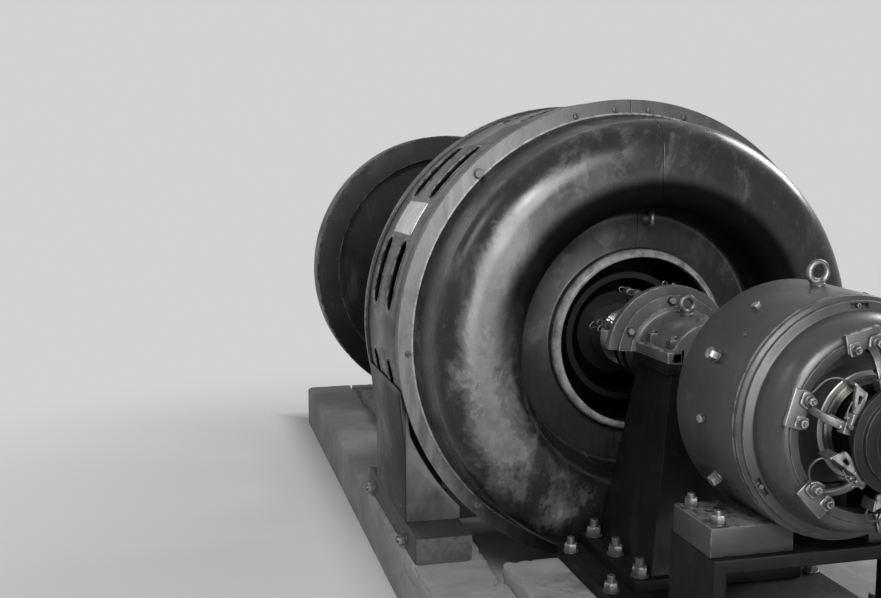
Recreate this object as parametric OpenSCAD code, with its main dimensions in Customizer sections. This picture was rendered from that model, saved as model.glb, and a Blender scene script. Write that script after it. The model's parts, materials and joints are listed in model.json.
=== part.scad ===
// Horizontal hydroelectric generator with exciter and flywheel, in millimetres.
// Each piece is drawn about the shaft line: x runs along the shaft towards the exciter,
// 0 is the front face of the stator, and z is up from the shaft's centre.
// on_floor() then stands the set on z = 0 with its middle over the origin.

/* [Shaft line] */
// Distance from the stator's front face to the exciter frame
exciter_x = 1232; // [1200:4:1260]
// Distance from the stator's front face back to the flywheel's front face
flywheel_x = 3080; // [3040:10:3160]
// Radius of the shaft in the main bearings
journal_r = 80; // [70:1:88]
// Radius of the shaft under the rotor
rotor_seat_r = 125; // [112:1:140]
// Radius of the shaft under the armature
armature_seat_r = 60; // [50:1:68]
// Radial running clearance in the bearings
bearing_clearance = 0.08; // [0.04:0.01:0.1]

/* [Stator] */
// Outer radius of the stator's front rim
flange_r = 1000; // [980:2:1020]
// Length of the stator between the two rims' faces
stator_len = 780; // [740:4:820]
// How far the shell lies inside the rim
shell_inset = 2; // [0:1:8]
// Thickness of the shell plate
shell_t = 12; // [8:1:16]
// Thickness of each frame ring
frame_ring_t = 30; // [24:1:38]
// Extra radius of the rear frame ring
rear_ring_extra = 10; // [4:1:16]
// Radial depth of the frame rings
frame_ring_depth = 120; // [104:2:140]
// Width of an air slot along the shaft
slot_w = 130; // [110:2:150]
// Angle between the round ends of an air slot
slot_angle = 11; // [9:0.5:13]
// Distance of the front row of slots from the stator's face
front_slot_x = 253; // [243:2:263]
// Distance of the rear row of slots from the stator's face
rear_slot_x = 555; // [545:2:565]
// Number of slot pairs round the shell
slot_groups = 12; // [10:2:14]
// Radius of the stator core's bore
core_bore_r = 590; // [588:1:600]
// Gap between the core and the shell
core_gap = 136; // [120:2:160]
// Length of the core
core_len = 420; // [380:4:440]
// Width of a rib between core and shell
core_rib_w = 46; // [36:1:60]
// Length of the coil ends beyond the core
coil_end_len = 120; // [90:2:140]
// Radial thickness of the coil ends
coil_end_t = 130; // [100:2:150]

/* [End shields] */
// Thickness of the bolting rim
rim_t = 26; // [20:1:34]
// Width of the flat band of the bolting rim
rim_band_w = 66; // [60:1:74]
// Wall thickness of the shields
shield_t = 20; // [14:1:26]
// How far the crown stands proud of the rim
crown_x = 325; // [300:2:340]
// Distance of the flat part of the crown's front inside the rim
crown_inset = 240; // [228:2:256]
// Radial depth of the crown's outer rounding
crown_round_r = 150; // [136:2:156]
// Axial depth of the crown's outer rounding
crown_round_x = 122; // [100:2:140]
// Width of the flat part of the crown's front
crown_flat_w = 135; // [120:1:148]
// Radial depth of the crown's inner rounding
inner_round_r = 72; // [60:2:80]
// Axial depth of the crown's inner rounding
inner_round_x = 86; // [70:2:100]
// Distance of the dish's edge inside the crown
dish_inset = 37; // [30:1:46]
// Height of the dish above the rim's face
dish_x = 93; // [84:1:100]
// Width of the flat dish round the lip
dish_w = 136; // [126:1:142]
// Height of the lip above the dish
lip_h = 57; // [46:1:66]
// Width of the lip round the mouth
lip_w = 30; // [24:1:38]
// Gap between the left and right half of a shield
joint_gap = 1; // [0.4:0.2:2]

/* [Feet and masonry] */
// Distance of a foot's outer face inside the rim, at its top
foot_inset = 12; // [4:1:14]
// How far a foot's outer face leans in towards its sole
foot_lean = 28; // [20:2:36]
// Width of a foot's sole
foot_sole_w = 238; // [226:2:246]
// Height of a foot's outer face
foot_face_h = 540; // [528:4:552]
// Height of the upright part of a foot's outer face
foot_knee_h = 275; // [250:5:300]
// Gap between a foot's end webs and the rim
foot_rim_gap = 22; // [12:1:26]
// Thickness of a foot's webs
foot_web_t = 36; // [28:1:46]
// Thickness of a foot's outer wall
foot_wall_t = 32; // [24:1:40]
// Thickness of a foot's sole
foot_sole_t = 46; // [36:1:56]
// Height of the soles above the rim's lowest point
sole_rise = 225; // [215:1:235]
// Thickness of the sole plates
sole_plate_t = 111; // [100:1:118]
// How far the sole plates stand out beyond the stator's rims
sole_reach = 150; // [130:5:160]
// Thickness of the bed plates
bed_plate_t = 53; // [40:1:64]
// Height of the masonry
masonry_h = 264; // [220:1:390]
// Distance of the pit's sides inside the feet
pit_edge = 67; // [55:1:75]
// Width of a masonry side wall
wall_w = 322; // [314:2:350]
// Length of masonry ahead of the stator's face
masonry_front_x = 1660; // [1640:10:1700]
// Distance from the stator's rims to the blocks that close its pit
pit_end_x = 330; // [326:1:332]
// Thickness of the end wall
end_wall_t = 100; // [80:5:110]
// Free length of the flywheel pit at each side of the wheel
wheel_pit_gap = 70; // [60:2:80]

/* [Bearings] */
// Distance of a main bearing's centre from the nearer stator rim
bearing_x = 600; // [596:1:610]
// Length of a bearing along the shaft
bearing_len = 300; // [280:4:304]
// Height of the bearing joint above the shaft's centre
bearing_joint_z = 18; // [10:1:26]
// Half width of the pedestal at the joint
pedestal_top_w = 170; // [160:2:180]
// Half width of the pedestal at its foot
pedestal_foot_w = 262; // [245:2:275]
// Half width of a pedestal's sole flange
pedestal_sole_w = 330; // [310:2:345]
// How far a pedestal widens along the shaft at each end
pedestal_flare = 90; // [60:2:92]
// Thickness of a pedestal's sole flange
pedestal_sole_t = 44; // [36:1:54]
// Outer radius of a bearing liner
liner_r = 105; // [100:1:112]
// Radius of a bearing cap
cap_r = 162; // [154:1:166]
// Thickness of the cap's bolting flange
cap_flange_t = 42; // [34:1:50]
// Radius of the end flange of a cap
cap_end_r = 228; // [216:2:236]
// Radius of the brush ring
brush_ring_r = 264; // [254:2:272]

/* [Rotor] */
// Number of poles
rotor_poles_n = 10; // [6:2:12]
// Air gap between the poles and the core
air_gap = 10; // [8:0.5:14]
// Outer radius of the hub drum
drum_r = 276; // [266:2:284]
// Wall thickness of the hub drum
drum_t = 26; // [20:1:32]
// Outer radius of the hub's boss
boss_r = 179; // [168:1:186]
// Distance of the boss's face behind the stator's face
boss_x = 114; // [100:2:130]
// Outer radius of the rotor's rim
rotor_rim_r = 430; // [420:2:440]
// Thickness of the rotor's rim
rotor_rim_t = 60; // [44:2:76]
// Width of a pole body
pole_w = 120; // [100:2:130]
// Radial height of a pole shoe
pole_shoe_h = 40; // [32:1:48]
// Width of a pole shoe
pole_shoe_w = 240; // [220:4:260]
// Thickness of a pole coil
pole_coil_t = 38; // [28:1:42]
// Radius of a slip ring
slip_ring_r = 140; // [130:1:150]
// Width of a slip ring
slip_ring_w = 36; // [28:1:44]

/* [Flywheel] */
// Outer radius of the flywheel
flywheel_r = 940; // [920:2:950]
// Width of the flywheel's rim
flywheel_w = 220; // [200:2:236]
// Inner radius of the flywheel's rim
flywheel_rim_bore_r = 786; // [770:2:800]
// Thickness of the flywheel's web
flywheel_web_t = 70; // [56:2:90]
// Radius of the flywheel's hub
flywheel_hub_r = 230; // [210:2:250]
// Length of the flywheel's hub
flywheel_hub_len = 260; // [244:2:272]
// Radius of the shaft in the flywheel
flywheel_seat_r = 110; // [100:1:120]
// Distance from the rear bearing's centre back to the shaft coupling
coupling_reach = 640; // [600:10:700]
// Radius of the coupling flanges
coupling_r = 230; // [220:2:250]
// Thickness of a coupling flange
coupling_t = 60; // [50:1:70]
// Pitch circle diameter of the coupling bolts
coupling_pcd = 360; // [350:2:380]
// Number of coupling bolts
coupling_bolts_n = 8; // [6:2:10]
// Radius of a coupling bolt hole
coupling_hole_r = 18; // [14:1:20]

/* [Exciter] */
// Outer radius of the exciter frame at its back
yoke_r = 372; // [364:1:380]
// Outer radius of the exciter frame at its front
yoke_front_r = 361; // [356:1:364]
// Length of the exciter frame
yoke_len = 317; // [305:2:325]
// Wall thickness of the exciter frame
yoke_t = 52; // [44:1:58]
// Number of main poles and brush arms
exciter_poles_n = 6; // [4:2:6]
// Distance of the main poles inside the ends of the exciter frame
exciter_pole_inset = 64; // [58:1:72]
// Width of a main pole of the exciter
exciter_pole_w = 92; // [80:2:100]
// Width of the shoe of a main pole of the exciter
exciter_shoe_w = 156; // [140:2:160]
// Radius of the armature
armature_r = 205; // [196:1:210]
// Clearance between armature and exciter poles
armature_gap = 6; // [5:0.5:9]
// Radius of the armature's front winding band
winding_r = 160; // [154:1:166]
// Radius of the commutator
commutator_r = 126; // [120:1:132]
// Length of the commutator
commutator_len = 135; // [131:1:139]
// Radius of the shaft's end disc
end_disc_r = 153; // [147:1:160]
// Wall thickness of the exciter's front cover
cover_t = 14; // [10:1:18]
// Radius of the cover's mouth
bell_mouth_r = 268; // [262:1:274]
// How far the mouth stands ahead of the exciter frame
bell_len = 134; // [124:2:142]
// Radius of the circle on which the brush spindles lie
spindle_circle_r = 236; // [230:1:240]
// Radius of a brush spindle
spindle_r = 10; // [8:0.5:12]
// Clearance between brushes and commutator
brush_gap = 1; // [0.6:0.2:2]
// Length of a brush holder along its spindle
holder_len = 28; // [24:1:30]
// Distance from one brush holder to the next
holder_pitch = 34; // [32:1:36]
// Width of a brush arm's bracket
bracket_w = 110; // [96:2:120]
// Half width of the exciter's stool
stool_w = 395; // [380:5:410]
// Distance of the exciter's foot pads below the shaft
pad_drop = 400; // [386:2:420]
// Height of the exciter's foot pads
pad_h = 90; // [80:2:100]
// Wall thickness of the exciter's stool
stool_t = 45; // [36:1:56]

/* [Hidden] */
$fn = 96;

// Gap at a seat between curved faces
seat = 0.3;
// Heights, with the shaft's centre at 0
plate_top_z = sole_rise - flange_r;
masonry_top_z = plate_top_z - sole_plate_t;
bed_z = plate_top_z - bed_plate_t;
ground_z = masonry_top_z - masonry_h;
// Radii and stations of the stator, with its front face at x = 0
shell_r = flange_r - shell_inset;
shell_bore_r = shell_r - shell_t;
frame_ring_bore_r = flange_r - frame_ring_depth;
core_r = shell_bore_r - core_gap;
crown_flat_r = flange_r - crown_inset;
crown_inner_r = crown_flat_r - crown_flat_w;
dish_r = crown_inner_r - inner_round_r - dish_inset;
lip_r = dish_r - dish_w;
mouth_r = lip_r - lip_w;
shell_front_x = -rim_t - frame_ring_t;
shell_rear_x = -stator_len - shell_front_x;
stator_mid_x = -stator_len / 2;
core_front_x = stator_mid_x + core_len / 2;
core_rear_x = stator_mid_x - core_len / 2;
wheel_front_x = -flywheel_x;
wheel_rear_x = wheel_front_x - flywheel_w;
wheel_mid_x = wheel_front_x - flywheel_w / 2;
wheel_pit_front_x = wheel_front_x + wheel_pit_gap;
wheel_pit_rear_x = wheel_rear_x - wheel_pit_gap;
masonry_rear_x = wheel_pit_rear_x - end_wall_t;
shaft_rear_x = masonry_rear_x - 50;
bearing_half = bearing_len / 2;
rear_bearing_x = -stator_len - bearing_x;
coupling_x = rear_bearing_x - coupling_reach;
wheel_bearing_gap = 140;
wheel_bearing_x = wheel_pit_front_x + bearing_half + wheel_bearing_gap;
bed_front_x = masonry_front_x - 20;
bed_edge = 3;
journal_len = bearing_len + 24;
// Feet, pit and masonry across the shaft
foot_tip_h = 30;
foot_tip_inset = 2;
foot_tip_w = 186;
foot_top_z = plate_top_z + foot_face_h;
foot_tip_z = foot_top_z + foot_tip_h;
foot_top_y = flange_r - foot_inset;
foot_tip_y = foot_top_y - foot_tip_inset;
foot_sole_y = foot_top_y - foot_lean;
foot_inner_y = foot_sole_y - foot_sole_w;
pit_half_w = foot_inner_y - pit_edge;
sole_edge = 2;
// Round the dish of a shield
cove_r = 22;
// Bearing caps and brush ring
cap_end_t = 20;
cap_ring_t = 25;
brush_ring_t = 35;
slip_x = [208, 292];
// Exciter
yoke_front_x = exciter_x + yoke_len;
yoke_bore_r = yoke_front_r - yoke_t;
mouth_x = yoke_front_x + bell_len;
commutator_x = yoke_front_x + 101;
rocker_len = 60;
winding_x = yoke_front_x - 50;
commutator_end_x = commutator_x + commutator_len;
end_disc_t = 25;
shaft_front_x = commutator_end_x + end_disc_t + 15;
bracket_t = 22;
pole_phase = -3;
arm_phase = -13.5;
// Rotor
pole_tip_r = core_bore_r - air_gap;
pole_shoe_r = pole_tip_r - pole_shoe_h;
coil_half_w = pole_w / 2 + pole_coil_t;
coil_top_z = sqrt(pow(pole_shoe_r, 2) - pow(coil_half_w, 2)) - 1;
// Middle of the whole set
middle_x = (shaft_rear_x + shaft_front_x) / 2;

// Stands a piece on the ground, with the set's middle over the origin.
module on_floor() {
    translate([-middle_x, 0, -ground_z]) children();
}

// Turns a piece about the shaft: 0 is the top, and positive goes to the right.
module at_angle(angle) {
    rotate([-angle, 0, 0]) children();
}

// Places a piece several times round the shaft, the first at the angle start.
module round_shaft(count, start) {
    for (i = [0:count - 1]) at_angle(start + i * 360 / count) children();
}

// Swaps a piece to the stator's rear end.
module at_rear() {
    translate([-stator_len, 0, 0]) mirror([1, 0, 0]) children();
}

// Revolves an outline of [radius, x] points about the shaft.
module turned(outline) {
    rotate([0, 90, 0]) rotate_extrude() polygon(outline);
}

// A plain ring about the shaft, from x0 to x1.
module ring(bore, outer, x0, x1) {
    turned([[bore, x0], [outer, x0], [outer, x1], [bore, x1]]);
}

// A solid bar about the shaft, from x0 to x1.
module bar(r, x0, x1) {
    translate([x0, 0, 0]) rotate([0, 90, 0]) cylinder(r = r, h = x1 - x0);
}

// A block from one corner to the other.
module block(low, high) {
    translate(low) cube(high - low);
}

// A flat outline of [y, z] points, carried along x from x0 to x1.
module along_x(x0, x1) {
    translate([x0, 0, 0]) rotate([90, 0, 90]) linear_extrude(x1 - x0) children();
}

// A wedge about the shaft, half_angle to each side of the top.
module wedge(half_angle, r, x0, x1) {
    along_x(x0, x1) polygon([[0, 0], [-r * tan(half_angle), r], [r * tan(half_angle), r]]);
}

// Points of an ellipse about [cr, cx], from angle a0 to a1.
function bend(cr, cx, sr, sx, a0, a1, steps) =
    [for (i = [0:steps]) let (a = a0 + (a1 - a0) * i / steps) [cr + sr * cos(a), cx + sx * sin(a)]];

// A list in the opposite order.
function backwards(list) = [for (i = [len(list) - 1:-1:0]) list[i]];

// Outline of a stepped shaft from [x, radius] steps, each held up to the next x.
function stepped(steps, end_x) = concat(
    [[0, steps[0][0]]],
    [for (i = [0:len(steps) - 1]) each [
        [steps[i][1], steps[i][0]],
        [steps[i][1], i + 1 < len(steps) ? steps[i + 1][0] : end_x]]],
    [[0, end_x]]);

// A lifting eye that stands on z = 0, its ring across x.
module lifting_eye() {
    translate([0, 0, -6]) cylinder(r = 13, h = 24, $fn = 32);
    cylinder(r = 21, h = 8, $fn = 32);
    translate([0, 0, 45]) rotate([0, 90, 0])
        rotate_extrude($fn = 48) translate([26, 0]) circle(r = 9, $fn = 24);
}

// Masonry
module side_walls() {
    color("gray") on_floor() for (side = [0, 1]) mirror([0, side, 0])
        block([masonry_rear_x, pit_half_w, ground_z], [masonry_front_x, pit_half_w + wall_w, masonry_top_z]);
}

// A block of masonry between the side walls.
module cross_block(x0, x1, top_z) {
    on_floor() block([x0, -pit_half_w, ground_z], [x1, pit_half_w, top_z]);
}

module front_block() {
    color("gray") cross_block(pit_end_x, masonry_front_x, bed_z);
}

module middle_block() {
    color("gray") cross_block(wheel_pit_front_x, -stator_len - pit_end_x, bed_z);
}

module end_wall() {
    color("gray") cross_block(masonry_rear_x, wheel_pit_rear_x, masonry_top_z);
}

// Plates on the masonry
module sole_plates() {
    color("dimgray") on_floor() for (side = [0, 1]) mirror([0, side, 0])
        block([-stator_len - sole_reach, foot_inner_y - sole_edge, masonry_top_z],
            [sole_reach, foot_sole_y + sole_edge, plate_top_z]);
}

module front_bed_plate() {
    color("dimgray") on_floor()
        block([pit_end_x + bed_edge, -stool_w - 30, bed_z], [bed_front_x, stool_w + 30, plate_top_z]);
}

module rear_bed_plate() {
    color("dimgray") on_floor()
        block([wheel_pit_front_x + 20, -stool_w - 30, bed_z],
            [-stator_len - pit_end_x - bed_edge, stool_w + 30, plate_top_z]);
}

// Stator feet
// Outline of a foot on the right side, clear of the shell by a gap.
module foot_outline(gap) {
    difference() {
        polygon([[foot_inner_y, plate_top_z], [foot_sole_y, plate_top_z],
            [foot_sole_y, plate_top_z + foot_knee_h], [foot_top_y, foot_top_z], [foot_tip_y, foot_tip_z],
            [foot_tip_y - foot_tip_w, foot_tip_z], [foot_inner_y, foot_top_z]]);
        circle(r = shell_r + gap);
    }
}

// The outer wall of a foot, a strip inside its outer edge.
module foot_wall_outline() {
    difference() {
        polygon([[foot_sole_y - foot_wall_t, plate_top_z], [foot_sole_y, plate_top_z],
            [foot_sole_y, plate_top_z + foot_knee_h], [foot_top_y, foot_top_z], [foot_tip_y, foot_tip_z],
            [foot_tip_y - foot_wall_t, foot_tip_z], [foot_top_y - foot_wall_t, foot_top_z],
            [foot_sole_y - foot_wall_t, plate_top_z + foot_knee_h]]);
        circle(r = shell_r + seat);
    }
}

module stator_foot() {
    front_x = shell_front_x - 2;
    rear_x = shell_rear_x + 2;
    middle = (front_x + rear_x - foot_web_t) / 2;
    along_x(middle, middle + foot_web_t) foot_outline(seat);
    for (x = [front_x - foot_web_t, rear_x]) along_x(x, x + foot_web_t) foot_outline(foot_rim_gap);
    along_x(rear_x, front_x) foot_wall_outline();
    block([rear_x, foot_inner_y, plate_top_z], [front_x, foot_sole_y, plate_top_z + foot_sole_t]);
}

module stator_foot_left() {
    color("dimgray") on_floor() mirror([0, 1, 0]) stator_foot();
}

module stator_foot_right() {
    color("dimgray") on_floor() stator_foot();
}

// Stator
// One air slot at the top: a straight-sided cut with round ends, a hair wider than its sides.
module air_slot(x) {
    half = slot_angle / 2;
    low = shell_r - 60;
    high = shell_r + 60;
    side = slot_w / 2 - 0.3;
    along_x(x - side, x + side) polygon([
        [-low * sin(half), low * cos(half)], [-high * sin(half), high * cos(half)],
        [high * sin(half), high * cos(half)], [low * sin(half), low * cos(half)]]);
    for (angle = [-half, half]) at_angle(angle) translate([x, 0, low])
        cylinder(r = slot_w / 2, h = high - low, $fn = 32);
}

module stator_shell() {
    color("dimgray") on_floor() difference() {
        ring(shell_bore_r, shell_r, shell_rear_x, shell_front_x);
        round_shaft(slot_groups, 180 / slot_groups) {
            air_slot(-front_slot_x);
            air_slot(-rear_slot_x);
        }
    }
}

module front_frame_ring() {
    color("dimgray") on_floor() ring(frame_ring_bore_r, flange_r, shell_front_x, -rim_t);
}

module rear_frame_ring() {
    color("dimgray") on_floor()
        ring(frame_ring_bore_r, flange_r + rear_ring_extra, -stator_len + rim_t, shell_rear_x);
}

module stator_core() {
    rib_top = sqrt(pow(shell_bore_r - seat, 2) - pow(core_rib_w / 2, 2));
    color("darkgray") on_floor() {
        ring(core_bore_r, core_r, core_rear_x, core_front_x);
        round_shaft(slot_groups, 0)
            block([core_rear_x, -core_rib_w / 2, core_r - 10], [core_front_x, core_rib_w / 2, rib_top]);
    }
}

// The coils bulge out of each end of the core as a ring with a rounded nose.
module coil_end() {
    inner = core_bore_r + 18;
    nose = coil_end_t / 2;
    turned(concat([[inner, core_front_x]],
        [[inner + coil_end_t, core_front_x]],
        bend(inner + nose, core_front_x + coil_end_len - nose, nose, nose, 0, 180, 8)));
}

module coil_ends() {
    color("saddlebrown") on_floor() {
        coil_end();
        at_rear() coil_end();
    }
}

// End shields
// The shield's face from the bolting rim to the dish, moved inside by the wall t.
function shield_face(t, rim_x) = concat(
    [[flange_r - rim_band_w - t, rim_x]],
    bend(crown_flat_r, crown_x - crown_round_x, crown_round_r - t, crown_round_x - t, 0, 90, 8),
    bend(crown_inner_r, crown_x - inner_round_x, inner_round_r - t, inner_round_x - t, 90, 180, 6),
    bend(dish_r, dish_x + cove_r, cove_r + t, cove_r + t, 0, -90, 4));

// The lip round the mouth.
function lip_face() = [[lip_r + 4, dish_x], [lip_r, dish_x + lip_h / 2], [lip_r - 9, dish_x + lip_h * 0.8],
    [mouth_r + 9, dish_x + lip_h], [mouth_r, dish_x + lip_h]];

module shield_half(side) {
    reach = flange_r + 20;
    gap = joint_gap / 2;
    intersection() {
        turned(concat([[flange_r, -rim_t], [flange_r, 0]], shield_face(0, 0), lip_face(),
            [[mouth_r, dish_x - shield_t]], backwards(shield_face(shield_t, -rim_t))));
        mirror([0, side, 0]) block([-rim_t - 1, gap, -reach], [crown_x + 1, reach, reach]);
    }
}

module front_shield_left() {
    color("dimgray") on_floor() shield_half(1);
}

module front_shield_right() {
    color("dimgray") on_floor() shield_half(0);
}

module rear_shield_left() {
    color("dimgray") on_floor() at_rear() shield_half(1);
}

module rear_shield_right() {
    color("dimgray") on_floor() at_rear() shield_half(0);
}

// The lifting eye on the dish, beside the joint, its ring upright along the shaft.
module shield_eye() {
    color("darkgray") on_floor() translate([dish_x, 40, dish_r - 24]) rotate([0, 90, 0]) rotate([0, 0, 90])
        difference() {
            lifting_eye();
            translate([0, 0, -10]) cylinder(r = 30, h = 10, $fn = 32);
        }
}

// A bare plate on the shell, between two groups of slots.
module blank_plate() {
    plate_t = 3;
    plate_len = 355;
    half_angle = 4.8;
    front_x = -front_slot_x + 46;
    rear_x = front_x - plate_len;
    color("silver") on_floor() at_angle(-60) intersection() {
        ring(shell_r + seat, shell_r + seat + plate_t, rear_x, front_x);
        wedge(half_angle, shell_r * 1.2, rear_x, front_x);
    }
}

// Bearings, drawn with their middle at 0 and the machine they serve at -x
module pedestal() {
    neck_z = bearing_joint_z - cap_flange_t;
    body_w = pedestal_top_w - 18;
    foot_half = bearing_half + pedestal_flare;
    difference() {
        union() {
            intersection() {
                along_x(-bearing_len, bearing_len) polygon([[-pedestal_foot_w, plate_top_z],
                    [pedestal_foot_w, plate_top_z], [body_w, neck_z], [body_w, neck_z + 1],
                    [-body_w, neck_z + 1], [-body_w, neck_z]]);
                translate([0, pedestal_foot_w + 1, 0]) rotate([90, 0, 0])
                    linear_extrude(2 * pedestal_foot_w + 2) polygon([[-foot_half, plate_top_z],
                        [foot_half, plate_top_z], [bearing_half - 8, neck_z],
                        [bearing_half - 8, neck_z + 1], [-bearing_half + 8, neck_z + 1],
                        [-bearing_half + 8, neck_z]]);
            }
            block([-bearing_half, -pedestal_top_w, neck_z], [bearing_half, pedestal_top_w, bearing_joint_z]);
            block([-foot_half - 25, -pedestal_sole_w, plate_top_z],
                [foot_half + 25, pedestal_sole_w, plate_top_z + pedestal_sole_t]);
        }
        bar(liner_r + seat, -bearing_len, bearing_len);
    }
}

module bearing_cap() {
    difference() {
        union() {
            bar(cap_r, -bearing_half + 24, bearing_half);
            bar(cap_r + cap_ring_t, -bearing_half, -bearing_half + 25);
            bar(cap_end_r, -bearing_half - cap_end_t, -bearing_half);
            block([-bearing_half, -pedestal_top_w, 0],
                [bearing_half, pedestal_top_w, bearing_joint_z + cap_flange_t]);
            translate([-40, 0, cap_r - 3]) lifting_eye();
        }
        bar(liner_r + seat, -bearing_len, bearing_len);
        block([-bearing_len, -cap_end_r - 1, -cap_end_r - 1], [bearing_len, cap_end_r + 1, bearing_joint_z]);
    }
}

module front_pedestal() {
    color("dimgray") on_floor() translate([bearing_x, 0, 0]) pedestal();
}

module front_bearing_cap() {
    color("gray") on_floor() translate([bearing_x, 0, 0]) bearing_cap();
}

module rear_pedestal() {
    color("dimgray") on_floor() at_rear() translate([bearing_x, 0, 0]) pedestal();
}

module rear_bearing_cap() {
    color("gray") on_floor() at_rear() translate([bearing_x, 0, 0]) bearing_cap();
}

module wheel_pedestal() {
    color("dimgray") on_floor() translate([wheel_bearing_x, 0, 0]) pedestal();
}

module wheel_bearing_cap() {
    color("gray") on_floor() translate([wheel_bearing_x, 0, 0]) bearing_cap();
}

module bearing_liners() {
    color("darkkhaki") on_floor() for (x = [bearing_x, rear_bearing_x, wheel_bearing_x])
        ring(journal_r + bearing_clearance, liner_r, x - bearing_half + 6, x + bearing_half - 6);
}

// A half ring on the bearing's end, with spindles that reach over the slip rings.
module brush_ring() {
    back_x = bearing_x - bearing_half - cap_end_t;
    bore = brush_ring_r - 60;
    color("gray") on_floor() {
        difference() {
            ring(bore, brush_ring_r, back_x - brush_ring_t, back_x);
            block([back_x - brush_ring_t - 1, -brush_ring_r - 1, -brush_ring_r - 1],
                [back_x + 1, brush_ring_r + 1, bearing_joint_z]);
        }
        for (angle = [-66, -22, 22, 66]) at_angle(angle) {
            translate([0, 0, brush_ring_r - 30]) bar(9, slip_x[0] - 40, back_x - brush_ring_t + 1);
            for (x = slip_x) block([x - 12, -22, slip_ring_r + brush_gap], [x + 12, 22, brush_ring_r - 18]);
        }
    }
}

// Exciter
module exciter_frame() {
    pad_in_y = sqrt(pow(yoke_front_r - yoke_t / 2, 2) - pow(pad_drop - pad_h, 2));
    pad_inset = 40;
    color("dimgray") on_floor() {
        turned([[yoke_bore_r, exciter_x], [yoke_r, exciter_x], [yoke_front_r, yoke_front_x],
            [yoke_bore_r, yoke_front_x]]);
        translate([exciter_x + yoke_len / 2 - 10, 0, yoke_front_r - 1]) lifting_eye();
        for (side = [0, 1]) mirror([0, side, 0])
            block([exciter_x + pad_inset, pad_in_y, -pad_drop],
                [yoke_front_x - pad_inset, stool_w, pad_h - pad_drop]);
    }
}

module exciter_poles() {
    half_w = exciter_pole_w / 2;
    shoe_half_w = exciter_shoe_w / 2;
    shoe_t = 22;
    shoe_reach = 10;
    rear_x = exciter_x + exciter_pole_inset;
    front_x = yoke_front_x - exciter_pole_inset;
    face_r = armature_r + armature_gap;
    top_z = sqrt(pow(yoke_bore_r - seat, 2) - pow(half_w, 2));
    color("saddlebrown") on_floor() round_shaft(exciter_poles_n, pole_phase) difference() {
        union() {
            block([rear_x, -half_w, face_r], [front_x, half_w, top_z]);
            block([rear_x - shoe_reach, -shoe_half_w, face_r - shoe_t],
                [front_x + shoe_reach, shoe_half_w, face_r + shoe_t]);
        }
        bar(face_r, exciter_x, yoke_front_x);
    }
}

module exciter_rear_cover() {
    color("dimgray") on_floor() turned([[journal_r + 30, exciter_x - 40], [journal_r + 60, exciter_x - 40],
        [yoke_bore_r, exciter_x - 18], [yoke_r - 6, exciter_x - 18], [yoke_r - 6, exciter_x],
        [yoke_bore_r - 20, exciter_x], [journal_r + 30, exciter_x - 20]]);
}

module exciter_front_cover() {
    rim_r = yoke_front_r - 16;
    side_r = yoke_front_r - 44;
    step_x = yoke_front_x + 42;
    nose = side_r - bell_mouth_r;
    bell_x = mouth_x - step_x;
    color("gray") on_floor() difference() {
        turned(concat([[side_r - cover_t, yoke_front_x], [yoke_front_r - 2, yoke_front_x],
            [rim_r, yoke_front_x + 18], [rim_r, yoke_front_x + 26], [side_r, yoke_front_x + 32]],
            bend(bell_mouth_r, step_x, nose, bell_x, 0, 90, 8),
            bend(bell_mouth_r, step_x, nose - cover_t, bell_x - cover_t, 90, 0, 8)));
        for (angle = [-122, 1, 118]) at_angle(angle) intersection() {
            ring(side_r + 6, rim_r - 6, yoke_front_x - 1, yoke_front_x + 40);
            wedge(5, yoke_r, yoke_front_x - 1, yoke_front_x + 40);
        }
    }
}

module exciter_stool() {
    rear_x = exciter_x + 20;
    front_x = yoke_front_x - 20;
    color("dimgray") on_floor() difference() {
        block([rear_x, -stool_w, plate_top_z], [front_x, stool_w, -pad_drop]);
        block([rear_x - 1, -stool_w + stool_t, plate_top_z - 1],
            [front_x + 1, stool_w - stool_t, -pad_drop - stool_t]);
    }
}

// The rocker ring sits in the bell mouth and carries a bracket for each brush arm.
module rocker_ring() {
    color("gray") on_floor() {
        ring(spindle_circle_r + 4, bell_mouth_r - seat, mouth_x - rocker_len, mouth_x + 1);
        round_shaft(exciter_poles_n, arm_phase)
            block([mouth_x, -bracket_w / 2, spindle_circle_r - 14],
                [mouth_x + bracket_t, bracket_w / 2, bell_mouth_r + 28]);
    }
}

// One brush arm: a spindle along the shaft with two holders and their brushes.
module brush_arm() {
    start_x = mouth_x + bracket_t;
    holder_top = spindle_circle_r + 20;
    brush_inset = 6;
    translate([0, 0, spindle_circle_r]) bar(spindle_r, start_x, commutator_end_x - 2);
    for (x = [start_x + 10, start_x + 10 + holder_pitch]) {
        block([x, -24, commutator_r + 16], [x + holder_len, 24, holder_top]);
        block([x + brush_inset, -14, commutator_r + brush_gap],
            [x + holder_len - brush_inset, 14, commutator_r + 20]);
    }
}

module brush_gear() {
    color("silver") on_floor() round_shaft(exciter_poles_n, arm_phase) brush_arm();
}

// Turning pieces
module generator_shaft() {
    seat_front_x = 16;
    rear_journal_x = rear_bearing_x - journal_len / 2;
    front_journal_x = bearing_x - journal_len / 2;
    color("silver") on_floor() turned(stepped([
        [coupling_x, coupling_r], [coupling_x + coupling_t, journal_r + 16],
        [rear_journal_x, journal_r], [rear_journal_x + journal_len, journal_r + 16],
        [-stator_len - seat_front_x, rotor_seat_r], [seat_front_x, journal_r + 15],
        [front_journal_x, journal_r], [front_journal_x + journal_len, journal_r - 6],
        [exciter_x - 60, armature_seat_r]], shaft_front_x));
}

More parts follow.
